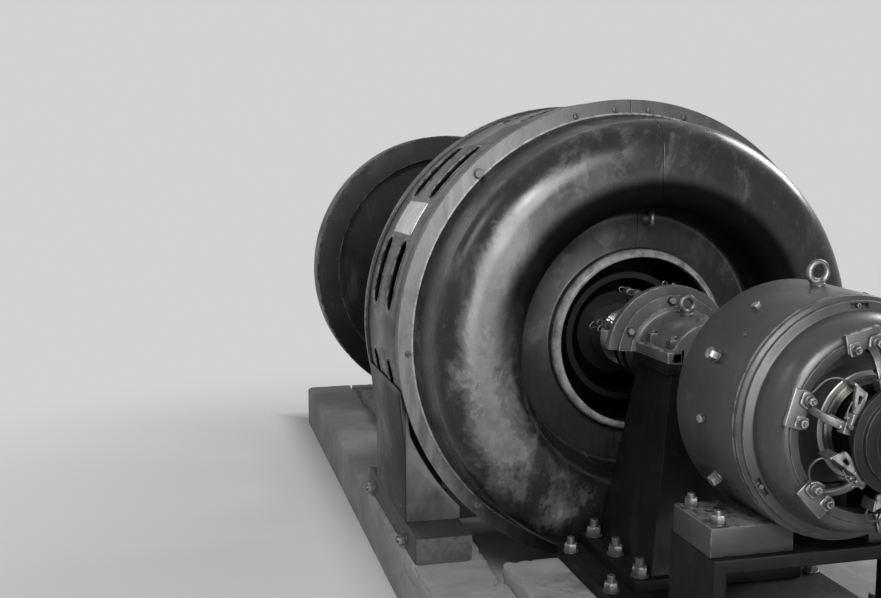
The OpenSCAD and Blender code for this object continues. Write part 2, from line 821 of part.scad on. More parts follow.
module rotor_spider() {
    web_half = 30;
    color("dimgray") on_floor() {
        ring(rotor_seat_r + seat, boss_r, -stator_len + boss_x, -boss_x);
        ring(boss_r - 5, drum_r - 5, stator_mid_x - web_half, stator_mid_x + web_half);
        ring(drum_r - drum_t, drum_r, -stator_len - 9, 9);
        ring(drum_r - 5, rotor_rim_r - 10, stator_mid_x - web_half, stator_mid_x + web_half);
        ring(rotor_rim_r - rotor_rim_t, rotor_rim_r, core_rear_x, core_front_x);
    }
}

module rotor_poles() {
    color("gray") on_floor() round_shaft(rotor_poles_n, 0) difference() {
        union() {
            block([core_rear_x, -pole_w / 2, rotor_rim_r - 20], [core_front_x, pole_w / 2, pole_shoe_r + 4]);
            intersection() {
                ring(pole_shoe_r, pole_tip_r, core_rear_x, core_front_x);
                block([core_rear_x, -pole_shoe_w / 2, rotor_rim_r],
                    [core_front_x, pole_shoe_w / 2, pole_tip_r + 1]);
            }
        }
        bar(rotor_rim_r + seat, core_rear_x - 1, core_front_x + 1);
    }
}

module pole_coils() {
    color("saddlebrown") on_floor() round_shaft(rotor_poles_n, 0) difference() {
        block([core_rear_x - pole_coil_t, -coil_half_w, rotor_rim_r - 20],
            [core_front_x + pole_coil_t, coil_half_w, coil_top_z]);
        block([core_rear_x - seat, -pole_w / 2 - seat, rotor_rim_r - 21],
            [core_front_x + seat, pole_w / 2 + seat, coil_top_z + 1]);
        bar(rotor_rim_r + seat, core_rear_x - pole_coil_t - 1, core_front_x + pole_coil_t + 1);
    }
}

module slip_rings() {
    bore = journal_r + 15 + seat;
    half_w = slip_ring_w / 2;
    color("peru") on_floor() {
        ring(bore, slip_ring_r - 24, slip_x[0] - 60, slip_x[1] + 60);
        for (x = slip_x) ring(bore + 1, slip_ring_r, x - half_w, x + half_w);
    }
}

module armature() {
    bore = armature_seat_r + seat;
    color("saddlebrown") on_floor() turned([[bore, exciter_x + 12], [armature_r - 28, exciter_x + 12],
        [armature_r - 10, exciter_x + 26], [armature_r, exciter_x + 60], [armature_r, winding_x],
        [armature_r - 8, winding_x + 14], [winding_r + 4, winding_x + 58], [winding_r, winding_x + 72],
        [winding_r, commutator_x], [bore, commutator_x]]);
}

module commutator() {
    bore = armature_seat_r + seat;
    riser_r = commutator_r + 21;
    color("peru") on_floor() turned([[bore, commutator_x], [riser_r, commutator_x],
        [riser_r, commutator_x + 10], [commutator_r, commutator_x + 14], [commutator_r, commutator_end_x],
        [bore, commutator_end_x]]);
}

module end_disc() {
    bore = armature_seat_r + seat;
    face_x = commutator_end_x + end_disc_t;
    color("gray") on_floor() turned([[bore, commutator_end_x], [end_disc_r - 4, commutator_end_x],
        [end_disc_r, commutator_end_x + 4], [end_disc_r, face_x - 8], [end_disc_r - 26, face_x - 8],
        [end_disc_r - 30, face_x], [end_disc_r - 66, face_x], [end_disc_r - 70, face_x - 6],
        [bore, face_x - 6]]);
}

module flywheel_shaft() {
    journal_x = wheel_bearing_x - journal_len / 2;
    hub_half = flywheel_hub_len / 2;
    color("silver") on_floor() difference() {
        turned(stepped([
            [shaft_rear_x, coupling_r], [shaft_rear_x + coupling_t, journal_r + 16],
            [wheel_mid_x - hub_half - 12, flywheel_seat_r], [wheel_mid_x + hub_half + 12, journal_r + 16],
            [journal_x, journal_r], [journal_x + journal_len, journal_r + 16],
            [coupling_x - coupling_t, coupling_r]], coupling_x));
        round_shaft(coupling_bolts_n, 0) translate([0, 0, coupling_pcd / 2])
            bar(coupling_hole_r, shaft_rear_x - 1, shaft_rear_x + coupling_t + 1);
    }
}

module flywheel() {
    rim_half = flywheel_w / 2;
    hub_half = flywheel_hub_len / 2;
    web_half = flywheel_web_t / 2;
    color("dimgray") on_floor() translate([wheel_mid_x, 0, 0]) turned([
        [flywheel_seat_r + seat, -hub_half], [flywheel_hub_r - 12, -hub_half],
        [flywheel_hub_r, -hub_half + 12],
        [flywheel_hub_r + 8, -web_half - 14], [flywheel_hub_r + 34, -web_half],
        [flywheel_rim_bore_r - 20, -web_half], [flywheel_rim_bore_r, -web_half - 16],
        [flywheel_rim_bore_r + 4, -rim_half], [flywheel_r - 12, -rim_half], [flywheel_r, -rim_half + 14],
        [flywheel_r, rim_half - 14], [flywheel_r - 12, rim_half], [flywheel_rim_bore_r + 4, rim_half],
        [flywheel_rim_bore_r, web_half + 16], [flywheel_rim_bore_r - 20, web_half],
        [flywheel_hub_r + 34, web_half], [flywheel_hub_r + 8, web_half + 14],
        [flywheel_hub_r, hub_half - 12], [flywheel_hub_r - 12, hub_half],
        [flywheel_seat_r + seat, hub_half]]);
}

side_walls();
front_block();
middle_block();
end_wall();
sole_plates();
front_bed_plate();
rear_bed_plate();
stator_foot_left();
stator_foot_right();
stator_shell();
front_frame_ring();
rear_frame_ring();
stator_core();
coil_ends();
front_shield_left();
front_shield_right();
rear_shield_left();
rear_shield_right();
shield_eye();
blank_plate();
front_pedestal();
front_bearing_cap();
rear_pedestal();
rear_bearing_cap();
wheel_pedestal();
wheel_bearing_cap();
bearing_liners();
brush_ring();
exciter_frame();
exciter_poles();
exciter_rear_cover();
exciter_front_cover();
exciter_stool();
rocker_ring();
brush_gear();
generator_shaft();
rotor_spider();
rotor_poles();
pole_coils();
slip_rings();
armature();
commutator();
end_disc();
flywheel_shaft();
flywheel();
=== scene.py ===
"""Dresses a horizontal hydroelectric generator: smooth castings, bolts, brush gear and finishes.

Lengths are in metres. Stations along the shaft are measured from the stator's front face,
and angles about the shaft from the top, positive towards +Y.
"""

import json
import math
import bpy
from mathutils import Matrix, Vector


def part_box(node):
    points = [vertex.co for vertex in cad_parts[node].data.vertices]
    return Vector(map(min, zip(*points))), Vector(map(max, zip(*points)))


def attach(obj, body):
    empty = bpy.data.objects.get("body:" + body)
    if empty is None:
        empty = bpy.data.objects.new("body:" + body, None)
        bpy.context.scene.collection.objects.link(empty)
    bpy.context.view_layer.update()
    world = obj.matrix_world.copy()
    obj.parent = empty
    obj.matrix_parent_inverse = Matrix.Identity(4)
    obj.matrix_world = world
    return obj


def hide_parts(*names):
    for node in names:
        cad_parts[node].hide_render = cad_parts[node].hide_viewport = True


bl_info = {
    "name": "Horizontal generator",
    "version": (1, 0, 0),
    "blender": (4, 5, 0),
    "location": "3D View > Sidebar > Generator",
    "description": "Builds the visible pieces of a horizontal generator with exciter and flywheel",
    "category": "Object",
}

import bmesh
import bpy
import numpy as np
from bpy.props import FloatProperty, FloatVectorProperty, IntProperty, PointerProperty
from bpy.types import Operator, Panel, PropertyGroup
from mathutils import Vector

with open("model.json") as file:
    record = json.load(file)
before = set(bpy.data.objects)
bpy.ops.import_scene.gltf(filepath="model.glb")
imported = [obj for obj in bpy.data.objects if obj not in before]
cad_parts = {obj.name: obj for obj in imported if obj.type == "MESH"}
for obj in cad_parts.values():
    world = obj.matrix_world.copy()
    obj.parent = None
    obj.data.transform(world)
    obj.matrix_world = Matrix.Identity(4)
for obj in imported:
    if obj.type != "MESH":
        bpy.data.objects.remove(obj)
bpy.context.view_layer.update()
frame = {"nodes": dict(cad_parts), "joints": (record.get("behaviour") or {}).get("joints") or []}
SHAFT_Z = frame["joints"][0]["pos_m"][2]
FACE_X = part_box("front_shield_left")[0].x + 0.026
STATOR_LEN = FACE_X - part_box("rear_shield_left")[1].x + 0.026
HOME = np.array([FACE_X, 0.0, SHAFT_Z])
STAND, ROTOR = "stand", "rotor"
TURN = 2 * math.pi


# Points and placing

def at(x, radius, angle):
    """Points at stations x, a radius and an angle about the shaft: (x, r sin a, r cos a) from its line."""
    x, radius, angle = np.broadcast_arrays(*(np.asarray(v, float) for v in (x, radius, angle)))
    return np.stack([x, radius * np.sin(angle), radius * np.cos(angle)], -1)


def placing(origin, along, up):
    """A 3 x 4 placing: local x goes along, local z goes up made square to it, local y makes a right hand."""
    x = np.asarray(along, float)
    x = x / np.linalg.norm(x)
    z = np.asarray(up, float)
    z = z - x * (x @ z)
    z = z / np.linalg.norm(z)
    return np.column_stack([x, np.cross(z, x), z, np.asarray(origin, float)])


def about_shaft(x, radius, degrees):
    """A placing at a point about the shaft: local x along the shaft, local z outwards."""
    angle = math.radians(degrees)
    return placing(at(x, radius, angle), (1, 0, 0), (0, math.sin(angle), math.cos(angle)))


def facing(x, radius, degrees, way=1):
    """A placing on a face that looks along the shaft: local z along it, either way, and local x outwards."""
    angle = math.radians(degrees)
    return placing(at(x, radius, angle), (0, math.sin(angle), math.cos(angle)), (way, 0, 0))


def upright(x, y, z):
    """A placing with local z up and local x along the shaft."""
    return placing((x, y, z), (1, 0, 0), (0, 0, 1))


class Shape:
    """Points, four-sided faces, end faces, a worn-edge value for each point and a material number."""

    def __init__(self, points, quads, ends=(), wear=None, material=0):
        self.points = np.asarray(points, float).reshape(-1, 3)
        self.quads = np.asarray(quads, int).reshape(-1, 4)
        self.ends = [np.asarray(e, int) for e in ends]
        self.wear = np.zeros(len(self.points)) if wear is None else np.asarray(wear, float).ravel()
        self.material = material

    def placed(self, *placings):
        """Copies of the shape, one at each placing: each point is turned by it and moved."""
        many = np.stack(placings)
        points = np.einsum("nij,pj->npi", many[:, :, :3], self.points) + many[:, None, :, 3]
        shift = np.arange(len(many)) * len(self.points)
        quads = (self.quads[None] + shift[:, None, None]).reshape(-1, 4)
        ends = [e + s for s in shift for e in self.ends]
        return Shape(points, quads, ends, np.tile(self.wear, len(many)), self.material)

    def painted(self, material):
        """The same shape with another material number."""
        return Shape(self.points, self.quads, self.ends, self.wear, material)


def grid(points, wrap_u, wrap_v):
    """Four-sided faces over a grid of points: each point joins the next one along both ways."""
    nu, nv = points.shape[:2]
    index = np.arange(nu * nv).reshape(nu, nv)
    index = np.vstack([index, index[:1]]) if wrap_u else index
    index = np.hstack([index, index[:, :1]]) if wrap_v else index
    return np.stack([index[:-1, :-1], index[:-1, 1:], index[1:, 1:], index[1:, :-1]], -1).reshape(-1, 4)


def loft(rings, wear=None, material=0):
    """A closed solid through a row of rings of points, with its first and last ring filled."""
    count, size = rings.shape[:2]
    ends = [np.arange(size), np.arange((count - 1) * size, count * size)]
    if wear is not None:
        wear = np.broadcast_to(np.asarray(wear, float).reshape(count, -1), (count, size))
    return Shape(rings, grid(rings, False, True), ends, wear, material)


# Outlines in two dimensions

def soften(corners, radius, steps=4):
    """Rounds the corners of a closed outline. Each corner P becomes the curve (1-s)^2 A + 2s(1-s) P + s^2 B,
    where A and B lie on its two edges, radius away. Gives the points and their wear, 1 on outer corners."""
    p = np.asarray(corners, float)
    back, ahead = np.roll(p, 1, 0) - p, np.roll(p, -1, 0) - p
    len_back = np.linalg.norm(back, axis=1)
    len_ahead = np.linalg.norm(ahead, axis=1)
    reach = np.minimum(np.broadcast_to(radius, len(p)), 0.48 * np.minimum(len_back, len_ahead))[:, None]
    a = p + back / len_back[:, None] * reach
    b = p + ahead / len_ahead[:, None] * reach
    s = np.linspace(0, 1, steps + 1)[None, :, None]
    points = (1 - s) ** 2 * a[:, None] + 2 * s * (1 - s) * p[:, None] + s ** 2 * b[:, None]
    turn = back[:, 0] * ahead[:, 1] - back[:, 1] * ahead[:, 0]
    area = np.sum(p[:, 0] * np.roll(p[:, 1], -1) - np.roll(p[:, 0], -1) * p[:, 1])
    outer = (turn * area < 0) & (np.abs(turn) > 0.15 * len_back * len_ahead)
    wear = outer[:, None] * 4 * s[..., 0] * (1 - s[..., 0])
    return points.reshape(-1, 2), wear.ravel()


def outline_normals(p):
    """Outward unit normals of a closed outline: the chord from the point before to the one after, turned
    square."""
    chord = np.roll(p, -1, 0) - np.roll(p, 1, 0)
    area = np.sum(p[:, 0] * np.roll(p[:, 1], -1) - np.roll(p[:, 0], -1) * p[:, 1])
    normal = np.column_stack([chord[:, 1], -chord[:, 0]]) * math.copysign(1, area)
    return normal / np.maximum(np.linalg.norm(normal, axis=1), 1e-9)[:, None]


def arc(centre, radii, start, end, steps):
    """Points of an ellipse about a centre from one angle to another, in degrees."""
    a = np.radians(np.linspace(start, end, steps + 1))
    return np.column_stack([centre[0] + radii[0] * np.cos(a), centre[1] + radii[1] * np.sin(a)])


def polygon(sides, across):
    """A regular outline with the given width across its flats."""
    a = (np.arange(sides) + 0.5) * TURN / sides
    return across / 2 / math.cos(math.pi / sides) * np.column_stack([np.cos(a), np.sin(a)])


def rectangle(x0, y0, x1, y1):
    """The four corners of a rectangle."""
    return np.array([[x0, y0], [x1, y0], [x1, y1], [x0, y1]], float)


# Shapes

def turned(outline, radius=0.003, steps=4, count=192, start=0.0, end=TURN, smooth=None, ends=1.0):
    """Turns a closed outline of [x, r] points about the shaft: each point draws (x, r sin a, r cos a).
    Its corners are rounded by radius. Less than a full turn gives a solid whose two ends are filled and
    eased, less and with less wear where ends is below 1."""
    loop, wear = soften(outline, radius, steps) if smooth is None else smooth
    if end - start > TURN - 1e-6:
        a = np.linspace(start, end, count, endpoint=False)
        points = at(loop[:, None, 0], loop[:, None, 1], a[None])
        return Shape(points, grid(points, True, True), (), np.repeat(wear, count))
    span = (end - start) * loop[:, 1].mean()
    ease = np.array([0, 0.0006, 0.0018, 0.004, 0.008]) * ends / span
    a = start + (end - start) * np.concatenate([ease, np.linspace(0, 1, count)[1:-1], 1 - ease[::-1]])
    inset = np.zeros(len(a))
    inset[:3] = inset[-1:-4:-1] = np.array([0.0026, 0.0012, 0.0003]) * ends
    rings = loop[None] - outline_normals(loop)[None] * inset[:, None, None]
    points = at(rings[..., 0], rings[..., 1], a[:, None])
    return loft(points, np.maximum(wear[None], (inset > 0)[:, None] * 0.8 * ends ** 2))


def column(corners, heights, scales=None, radius=0.004, bevel=0.003, steps=3, material=0):
    """An upright solid: an outline softened by radius, drawn at each height and sized by its scale pair.
    At both ends it closes through a quarter round of the bevel's size, along the outline's normals."""
    loop, wear = soften(corners, radius, steps)
    normal = outline_normals(loop)
    scales = np.ones((len(heights), 2)) if scales is None else np.asarray(scales, float)
    q = np.linspace(0, math.pi / 2, 4)
    low = [(scales[0], heights[0] + bevel * (1 - math.cos(t)), bevel * (1 - math.sin(t))) for t in q]
    high = [(scales[-1], heights[-1] - bevel * (1 - math.cos(t)), bevel * (1 - math.sin(t)))
            for t in q[::-1]]
    middle = [(s, h, 0.0) for s, h in zip(scales[1:-1], heights[1:-1])]
    rows = low + middle + high
    rings = np.stack([np.column_stack([loop * s - normal * inset, np.full(len(loop), h)])
                      for s, h, inset in rows])
    edge = np.array([1.0 if 0 < inset < bevel else 0.0 for _, _, inset in rows])
    return loft(rings, np.maximum(edge[:, None], wear[None] * 0.8), material)


def block(low, high, radius=0.004, material=0):
    """A block between two corners, all its edges rounded by radius."""
    low, high = np.asarray(low, float), np.asarray(high, float)
    return column(rectangle(low[0], low[1], high[0], high[1]), (low[2], high[2]), radius=radius,
                  bevel=radius, material=material)


def waves(points, scale, seed):
    """A smooth uneven field in 0..1: 24 sines added up, each along its own direction with its own phase."""
    rng = np.random.default_rng(seed)
    way = rng.normal(size=(24, 3))
    way *= (scale * rng.uniform(0.5, 2.2, 24) / np.linalg.norm(way, axis=1))[:, None]
    value = np.sin(points @ way.T + rng.uniform(0, TURN, 24)).sum(-1)
    return 0.5 + 0.5 * np.tanh(value / 4.0)


def rough_block(low, high, seed, skin=0.0020, chip=0.020):
    """A block of masonry. The outline of its cross-section is drawn every step along x. Each point sinks
    inwards by an uneven skin, and near the upper edges also by chips where the field of waves is high."""
    step = 0.022
    low, high = np.asarray(low, float), np.asarray(high, float)
    corners = [[low[1], low[2]], [high[1], low[2]], [high[1], high[2]], [low[1], high[2]]]
    loop = []
    for a, b in zip(corners, corners[1:] + corners[:1]):
        a, b = np.array(a), np.array(b)
        length = np.linalg.norm(b - a)
        count = max(3, int(length / step))
        near = np.array([0.0, 0.003, 0.007, 0.012, 0.020]) / length
        s = np.concatenate([near, np.linspace(0.032 / length, 1 - 0.032 / length, count), 1 - near[:0:-1]])
        loop.append(a + s[:, None] * (b - a))
    loop = np.vstack(loop)
    span = high[0] - low[0]
    ends = np.array([0.0, 0.003, 0.009, 0.018]) / span
    inner = np.linspace(0.03 / span, 1 - 0.03 / span, max(4, int(span / step)))
    x = low[0] + span * np.concatenate([ends, inner, 1 - ends[::-1]])
    points = np.stack([np.broadcast_to(x[:, None], (len(x), len(loop))),
                       np.broadcast_to(loop[None, :, 0], (len(x), len(loop))),
                       np.broadcast_to(loop[None, :, 1], (len(x), len(loop)))], -1)
    to_side = np.minimum(points[..., 1] - low[1], high[1] - points[..., 1])
    to_top = high[2] - points[..., 2]
    to_end = np.minimum(points[..., 0] - low[0], high[0] - points[..., 0])
    sides = np.sort(np.stack([to_side, to_top, to_end], -1), -1)
    edge = np.exp(-(sides[..., 1] / 0.016) ** 2)
    field = waves(points, 16.0, seed) * 0.6 + waves(points, 60.0, seed + 1) * 0.4
    depth = skin * waves(points, 90.0, seed + 2) + edge * (0.003 + chip * np.clip(field - 0.42, 0, 1) * 1.6)
    middle = (low + high) / 2
    half = (high - low) / 2
    away = (points - middle) / half
    near = np.exp(-np.stack([to_end, to_side, np.minimum(to_top, points[..., 2] - low[2])], -1) / 0.012)
    points = points - np.sign(away) * near * depth[..., None]
    return loft(points, np.exp(-(sides[..., 1] / 0.007) ** 2))


def spun(outline, count=24, material=0, wear=0.0):
    """An outline of [r, z] points turned about local z: each point draws (r cos a, r sin a, z).
    Both ends are filled."""
    outline = np.asarray(outline, float)
    a = np.arange(count) * TURN / count
    rings = np.stack([outline[:, None, 0] * np.cos(a), outline[:, None, 0] * np.sin(a),
                      np.broadcast_to(outline[:, None, 1], (len(outline), count))], -1)
    return loft(rings, np.full((len(outline), 1), wear), material)


def rod(path, radius, sides=12, closed=False, material=0, wear=0.0, away=None):
    """A round bar carried along a path. Each ring is P + r (N cos b + M sin b), with N and M square to the
    path and N square to away too: the axis that the path follows least, or one direction a point."""
    p = np.asarray(path, float)
    t = np.gradient(p, axis=0) if not closed else np.roll(p, -1, 0) - np.roll(p, 1, 0)
    t = t / np.linalg.norm(t, axis=1)[:, None]
    n = np.cross(t, np.eye(3)[int(np.argmin(np.abs(t).sum(0)))] if away is None else away)
    n = n / np.linalg.norm(n, axis=1)[:, None]
    m = np.cross(t, n)
    b = np.arange(sides) * TURN / sides
    r = np.broadcast_to(radius, len(p))[:, None, None]
    rings = p[:, None] + r * (n[:, None] * np.cos(b)[None, :, None] + m[:, None] * np.sin(b)[None, :, None])
    if closed:
        return Shape(rings, grid(rings, True, True), (), np.full(rings.size // 3, wear), material)
    return loft(rings, np.full((len(p), 1), wear), material)


def strap(path, width, thick, side):
    """A flat bar carried along a path. Each ring is an eased rectangle: its width lies along side, made
    square to the path, and its thickness square to both."""
    p = np.asarray(path, float)
    t = np.gradient(p, axis=0)
    t = t / np.linalg.norm(t, axis=1)[:, None]
    s = np.asarray(side, float) - t * (t @ np.asarray(side, float))[:, None]
    s = s / np.linalg.norm(s, axis=1)[:, None]
    n = np.cross(t, s)
    outline, edge = soften(rectangle(-width / 2, -thick / 2, width / 2, thick / 2), thick * 0.3, 2)
    rings = p[:, None] + outline[None, :, :1] * s[:, None] + outline[None, :, 1:] * n[:, None]
    return loft(rings, np.outer(np.full(len(p), 0.7), edge))


def holed(corners, centre, radii, low, high, radius, edge):
    """A plate with an oval hole. The outline's points and the hole's, which lie in the same directions from
    the hole's centre, are joined in a closed row: up the outside, over the top, down the hole and under."""
    outer, _ = soften(corners, radius, 6)
    away = outer - centre
    a = np.arctan2(away[:, 1] / radii[1], away[:, 0] / radii[0])
    hole = np.column_stack([np.cos(a), np.sin(a)])
    small = outer - outline_normals(outer) * edge
    rows = [(outer, low + edge), (outer, high - edge), (small, high), (centre + hole * (radii + edge), high),
            (centre + hole * radii, high - edge), (centre + hole * radii, low + edge),
            (centre + hole * (radii + edge), low), (small, low)]
    rings = np.stack([np.column_stack([loop, np.full(len(loop), h)]) for loop, h in rows])
    wear = np.repeat([0.5, 0.5, 1.0, 0.6, 0.6, 0.2, 0.2, 0.2], len(outer))
    return Shape(rings, grid(rings, True, True), (), wear)


def curve(points, steps=8):
    """A smooth path through points: Catmull-Rom cubics, each from four neighbours."""
    p = np.asarray(points, float)
    p = np.vstack([2 * p[0] - p[1], p, 2 * p[-1] - p[-2]])
    s = np.linspace(0, 1, steps, endpoint=False)[None, :, None]
    a, b, c, d = (p[i:len(p) - 3 + i][:, None] for i in range(4))
    path = 0.5 * (2 * b + (c - a) * s + (2 * a - 5 * b + 4 * c - d) * s ** 2
                  + (3 * b - a - 3 * c + d) * s ** 3)
    return np.vstack([path.reshape(-1, 3), p[-2]])


def hexagon_bolt(across=0.03, height=0.019, washer=0.0, shank=0.0, material=0):
    """A chamfered hexagon head on local z = 0, on a washer and with a thread end above it if asked."""
    shapes = []
    if washer:
        disc = [[across * 0.66, -0.001], [across * 0.66, washer * 0.8], [across * 0.62, washer]]
        shapes.append(spun(disc, 28, material, 0.2))
    rings = [(1.0, washer - 0.001), (1.0, washer + height * 0.82), (0.90, washer + height)]
    points = np.stack([np.column_stack([k * polygon(6, across), np.full(6, z)]) for k, z in rings])
    shapes.append(loft(points, np.array([[0.0], [0.5], [0.9]]), material))
    if shank:
        top = washer + height + shank
        thread = [[across * 0.33, washer], [across * 0.33, top - 0.003], [across * 0.27, top]]
        shapes.append(spun(thread, 20, material, 0.3))
    return shapes


def square_bolt(across=0.034, height=0.03, shank=0.0, material=0):
    """A square head with eased corners and a domed top, on local z = 0."""
    shapes = [column(polygon(4, across), (-0.001, height), radius=0.002, bevel=0.003, material=material)]
    if shank:
        top = height + shank
        thread = [[across * 0.3, 0], [across * 0.3, top], [across * 0.22, top + 0.003]]
        shapes.append(spun(thread, 20, material, 0.3))
    return shapes


def slotted_screw(radius=0.014, height=0.008, material=0):
    """A round head with a slot across it: two half-round cheeks with a gap between them on a thin disc."""
    disc = [[radius, -0.001], [radius, height * 0.55], [radius * 0.93, height * 0.62]]
    shapes = [spun(disc, 28, material, 0.4)]
    a = np.linspace(0, math.pi, 12)
    half = radius * 0.97 * np.column_stack([np.cos(a), np.sin(a)]) + [0, radius * 0.09]
    for sign in (1, -1):
        shapes.append(column(half * [1, sign], (height * 0.5, height), radius=0.0003, bevel=radius * 0.12,
                             steps=1, material=material))
    return shapes


def eyebolt(material=0, thick=0.0088, ring=0.026, centre=0.045, twist=0.0):
    """A lifting eye on local z = 0: a collar, a neck and a hoop across local x, whose foot swells into the
    neck. The hoop may be bent sideways by twist, in radians."""
    neck = [[0.022, -0.001], [0.023, 0.006], [0.019, 0.011], [0.012, 0.015], [0.0125, 0.022]]
    a = np.linspace(0, TURN, 56, endpoint=False)
    thick = thick + 0.003 * np.exp(-((a - 1.5 * math.pi) / 0.45) ** 2)
    path = np.column_stack([ring * np.sin(a) * math.sin(twist), ring * np.cos(a),
                            centre + ring * np.sin(a) * math.cos(twist)])
    return [spun(neck, 28, material, 0.3), rod(path, thick, 16, closed=True, material=material, wear=0.35)]


def placed_all(shapes, *placings):
    """Each of several shapes, at each of the placings."""
    return [s.placed(*placings) for s in shapes]


# Pieces

def piece(name, shapes, materials, body, replaces=(), sharp=32.0, rule=None):
    """Makes one mesh of several shapes, with outward faces, smooth up to the sharp angle. The shapes are
    drawn from the shaft line, so each point is moved by the shaft's own place.
    A rule gives the faces' material numbers from the middles of the faces."""
    mesh = bpy.data.meshes.new(name)
    sizes = np.cumsum([0] + [len(s.points) for s in shapes])
    points = np.concatenate([s.points for s in shapes]) + HOME
    quads = np.concatenate([s.quads + k for s, k in zip(shapes, sizes)])
    ends = [(e + k) for s, k in zip(shapes, sizes) for e in s.ends]
    numbers = np.concatenate([np.full(len(s.quads), s.material) for s in shapes]
                             + [np.full(len(s.ends), s.material) for s in shapes])
    mesh.from_pydata(points.tolist(), [], quads.tolist() + [e.tolist() for e in ends])
    mesh.polygons.foreach_set("material_index", numbers.astype(np.int32))
    wear = mesh.attributes.new("wear", "FLOAT", "POINT")
    wear.data.foreach_set("value", np.concatenate([s.wear for s in shapes]).astype(np.float32))
    work = bmesh.new()
    work.from_mesh(mesh)
    bmesh.ops.remove_doubles(work, verts=work.verts, dist=1e-6)
    bmesh.ops.recalc_face_normals(work, faces=work.faces)
    work.to_mesh(mesh)
    work.free()
    if rule:
        middles = np.zeros(len(mesh.polygons) * 3)
        mesh.polygons.foreach_get("center", middles)
        mesh.polygons.foreach_set("material_index", rule(middles.reshape(-1, 3) - HOME).astype(np.int32))
    mesh.polygons.foreach_set("use_smooth", np.ones(len(mesh.polygons), bool))
    mesh.set_sharp_from_angle(angle=math.radians(sharp))
    for material in materials:
        mesh.materials.append(material)
    made = bpy.data.objects.new(name, mesh)
    bpy.context.scene.collection.objects.link(made)
    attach(made, body)
    if replaces:
        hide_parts(*replaces)
    return made


def eased_copy(node, material, body, width, segments=2):
    """A copy of a CAD node: loose triangles are joined, flat faces made whole and edges bevelled."""
    mesh = frame["nodes"][node].data.copy()
    mesh.name = node + "_eased"
    work = bmesh.new()
    work.from_mesh(mesh)
    bmesh.ops.remove_doubles(work, verts=work.verts, dist=1e-5)
    bmesh.ops.dissolve_limit(work, angle_limit=math.radians(1.0), verts=work.verts, edges=work.edges)
    work.to_mesh(mesh)
    work.free()
    mesh.polygons.foreach_set("use_smooth", np.ones(len(mesh.polygons), bool))
    mesh.materials.clear()
    mesh.materials.append(material)
    made = bpy.data.objects.new(node + "_eased", mesh)
    bpy.context.scene.collection.objects.link(made)
    bevel = made.modifiers.new("Eased edges", "BEVEL")
    bevel.width = width
    bevel.segments = segments
    bevel.limit_method = "ANGLE"
    bevel.angle_limit = math.radians(32.0)
    bevel.harden_normals = True
    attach(made, body)
    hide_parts(node)
    return made


# Finishes

class Finish:
    """A material with a hand for adding and joining its nodes. Its patterns read Object coordinates."""

    def __init__(self, name, **sockets):
        self.material = bpy.data.materials.new(name)
        self.material.use_nodes = True
        self.tree = self.material.node_tree
        self.shader = next(n for n in self.tree.nodes if n.type == "BSDF_PRINCIPLED")
        for key, value in sockets.items():
            self.shader.inputs[key.replace("_", " ")].default_value = value
        self.place = self.node("TexCoord").outputs["Object"]
        parts = self.node("SeparateXYZ", {"Vector": self.place})
        self.x = self.math("SUBTRACT", parts.outputs["X"], FACE_X)
        self.y = parts.outputs["Y"]
        self.z = self.math("SUBTRACT", parts.outputs["Z"], SHAFT_Z)
        self.wear = self.node("Attribute", attribute_name="wear").outputs["Fac"]

    def node(self, kind, inputs=None, **settings):
        """Adds a node with its settings, and feeds its inputs."""
        made = self.tree.nodes.new("ShaderNode" + kind)
        for key, value in settings.items():
            setattr(made, key, value)
        for key, value in (inputs or {}).items():
            self.feed(made.inputs[key], value)
        return made

    def feed(self, socket, value):
        """Links a socket to another one, or sets its value."""
        if isinstance(value, bpy.types.NodeSocket):
            self.tree.links.new(value, socket)
        elif hasattr(value, "__len__") and len(value) == 3 and socket.type == "RGBA":
            socket.default_value = (*value, 1.0)
        else:
            socket.default_value = value

    def math(self, operation, a, b=0.0, c=0.0):
        """The result of one Math node."""
        return self.node("Math", {0: a, 1: b, 2: c}, operation=operation).outputs[0]

    def radius(self):
        """Distance from the shaft line."""
        return self.math("SQRT", self.math("ADD", self.math("MULTIPLY", self.y, self.y),
                                           self.math("MULTIPLY", self.z, self.z)))

    def angle(self):
        """Angle about the shaft, 0 at the top."""
        return self.math("ARCTAN2", self.y, self.z)

    def stretched(self, x, y, z):
        """Object coordinates with each axis scaled."""
        return self.node("Mapping", {"Vector": self.place, "Scale": (x, y, z)}).outputs[0]

    def noise(self, scale, detail=4.0, roughness=0.55, vector=None, distortion=0.0):
        """Noise over Object coordinates, or over the vector that is given."""
        return self.node("TexNoise", {"Vector": vector or self.place, "Scale": scale, "Detail": detail,
                                      "Roughness": roughness, "Distortion": distortion}).outputs["Fac"]

    def spread(self, value, low, high, to_low=0.0, to_high=1.0):
        """Carries low..high to to_low..to_high with a smooth step."""
        return self.node("MapRange", {"Value": value, "From Min": low, "From Max": high, "To Min": to_low,
                                      "To Max": to_high}, interpolation_type="SMOOTHSTEP").outputs[0]

    def blend(self, factor, a, b):
        """Mixes two colours."""
        return self.node("Mix", {0: factor, 6: a, 7: b}, data_type="RGBA").outputs[2]

    def bump(self, height, strength, distance, below=None):
        """The normal of one Bump node, over that of another if it is given."""
        inputs = {"Height": height, "Strength": strength, "Distance": distance}
        if below:
            inputs["Normal"] = below
        return self.node("Bump", inputs).outputs[0]

    def finish(self, colour, roughness, normal=None, gloss=None):
        """Feeds the shader and gives the material."""
        for key, value in (("Base Color", colour), ("Roughness", roughness), ("Normal", normal),
                           ("Specular IOR Level", gloss)):
            if value is not None:
                self.feed(self.shader.inputs[key], value)
        return self.material


def scaled(colour, k):
    """A colour made darker or lighter by a factor."""
    return tuple(c * k for c in colour)


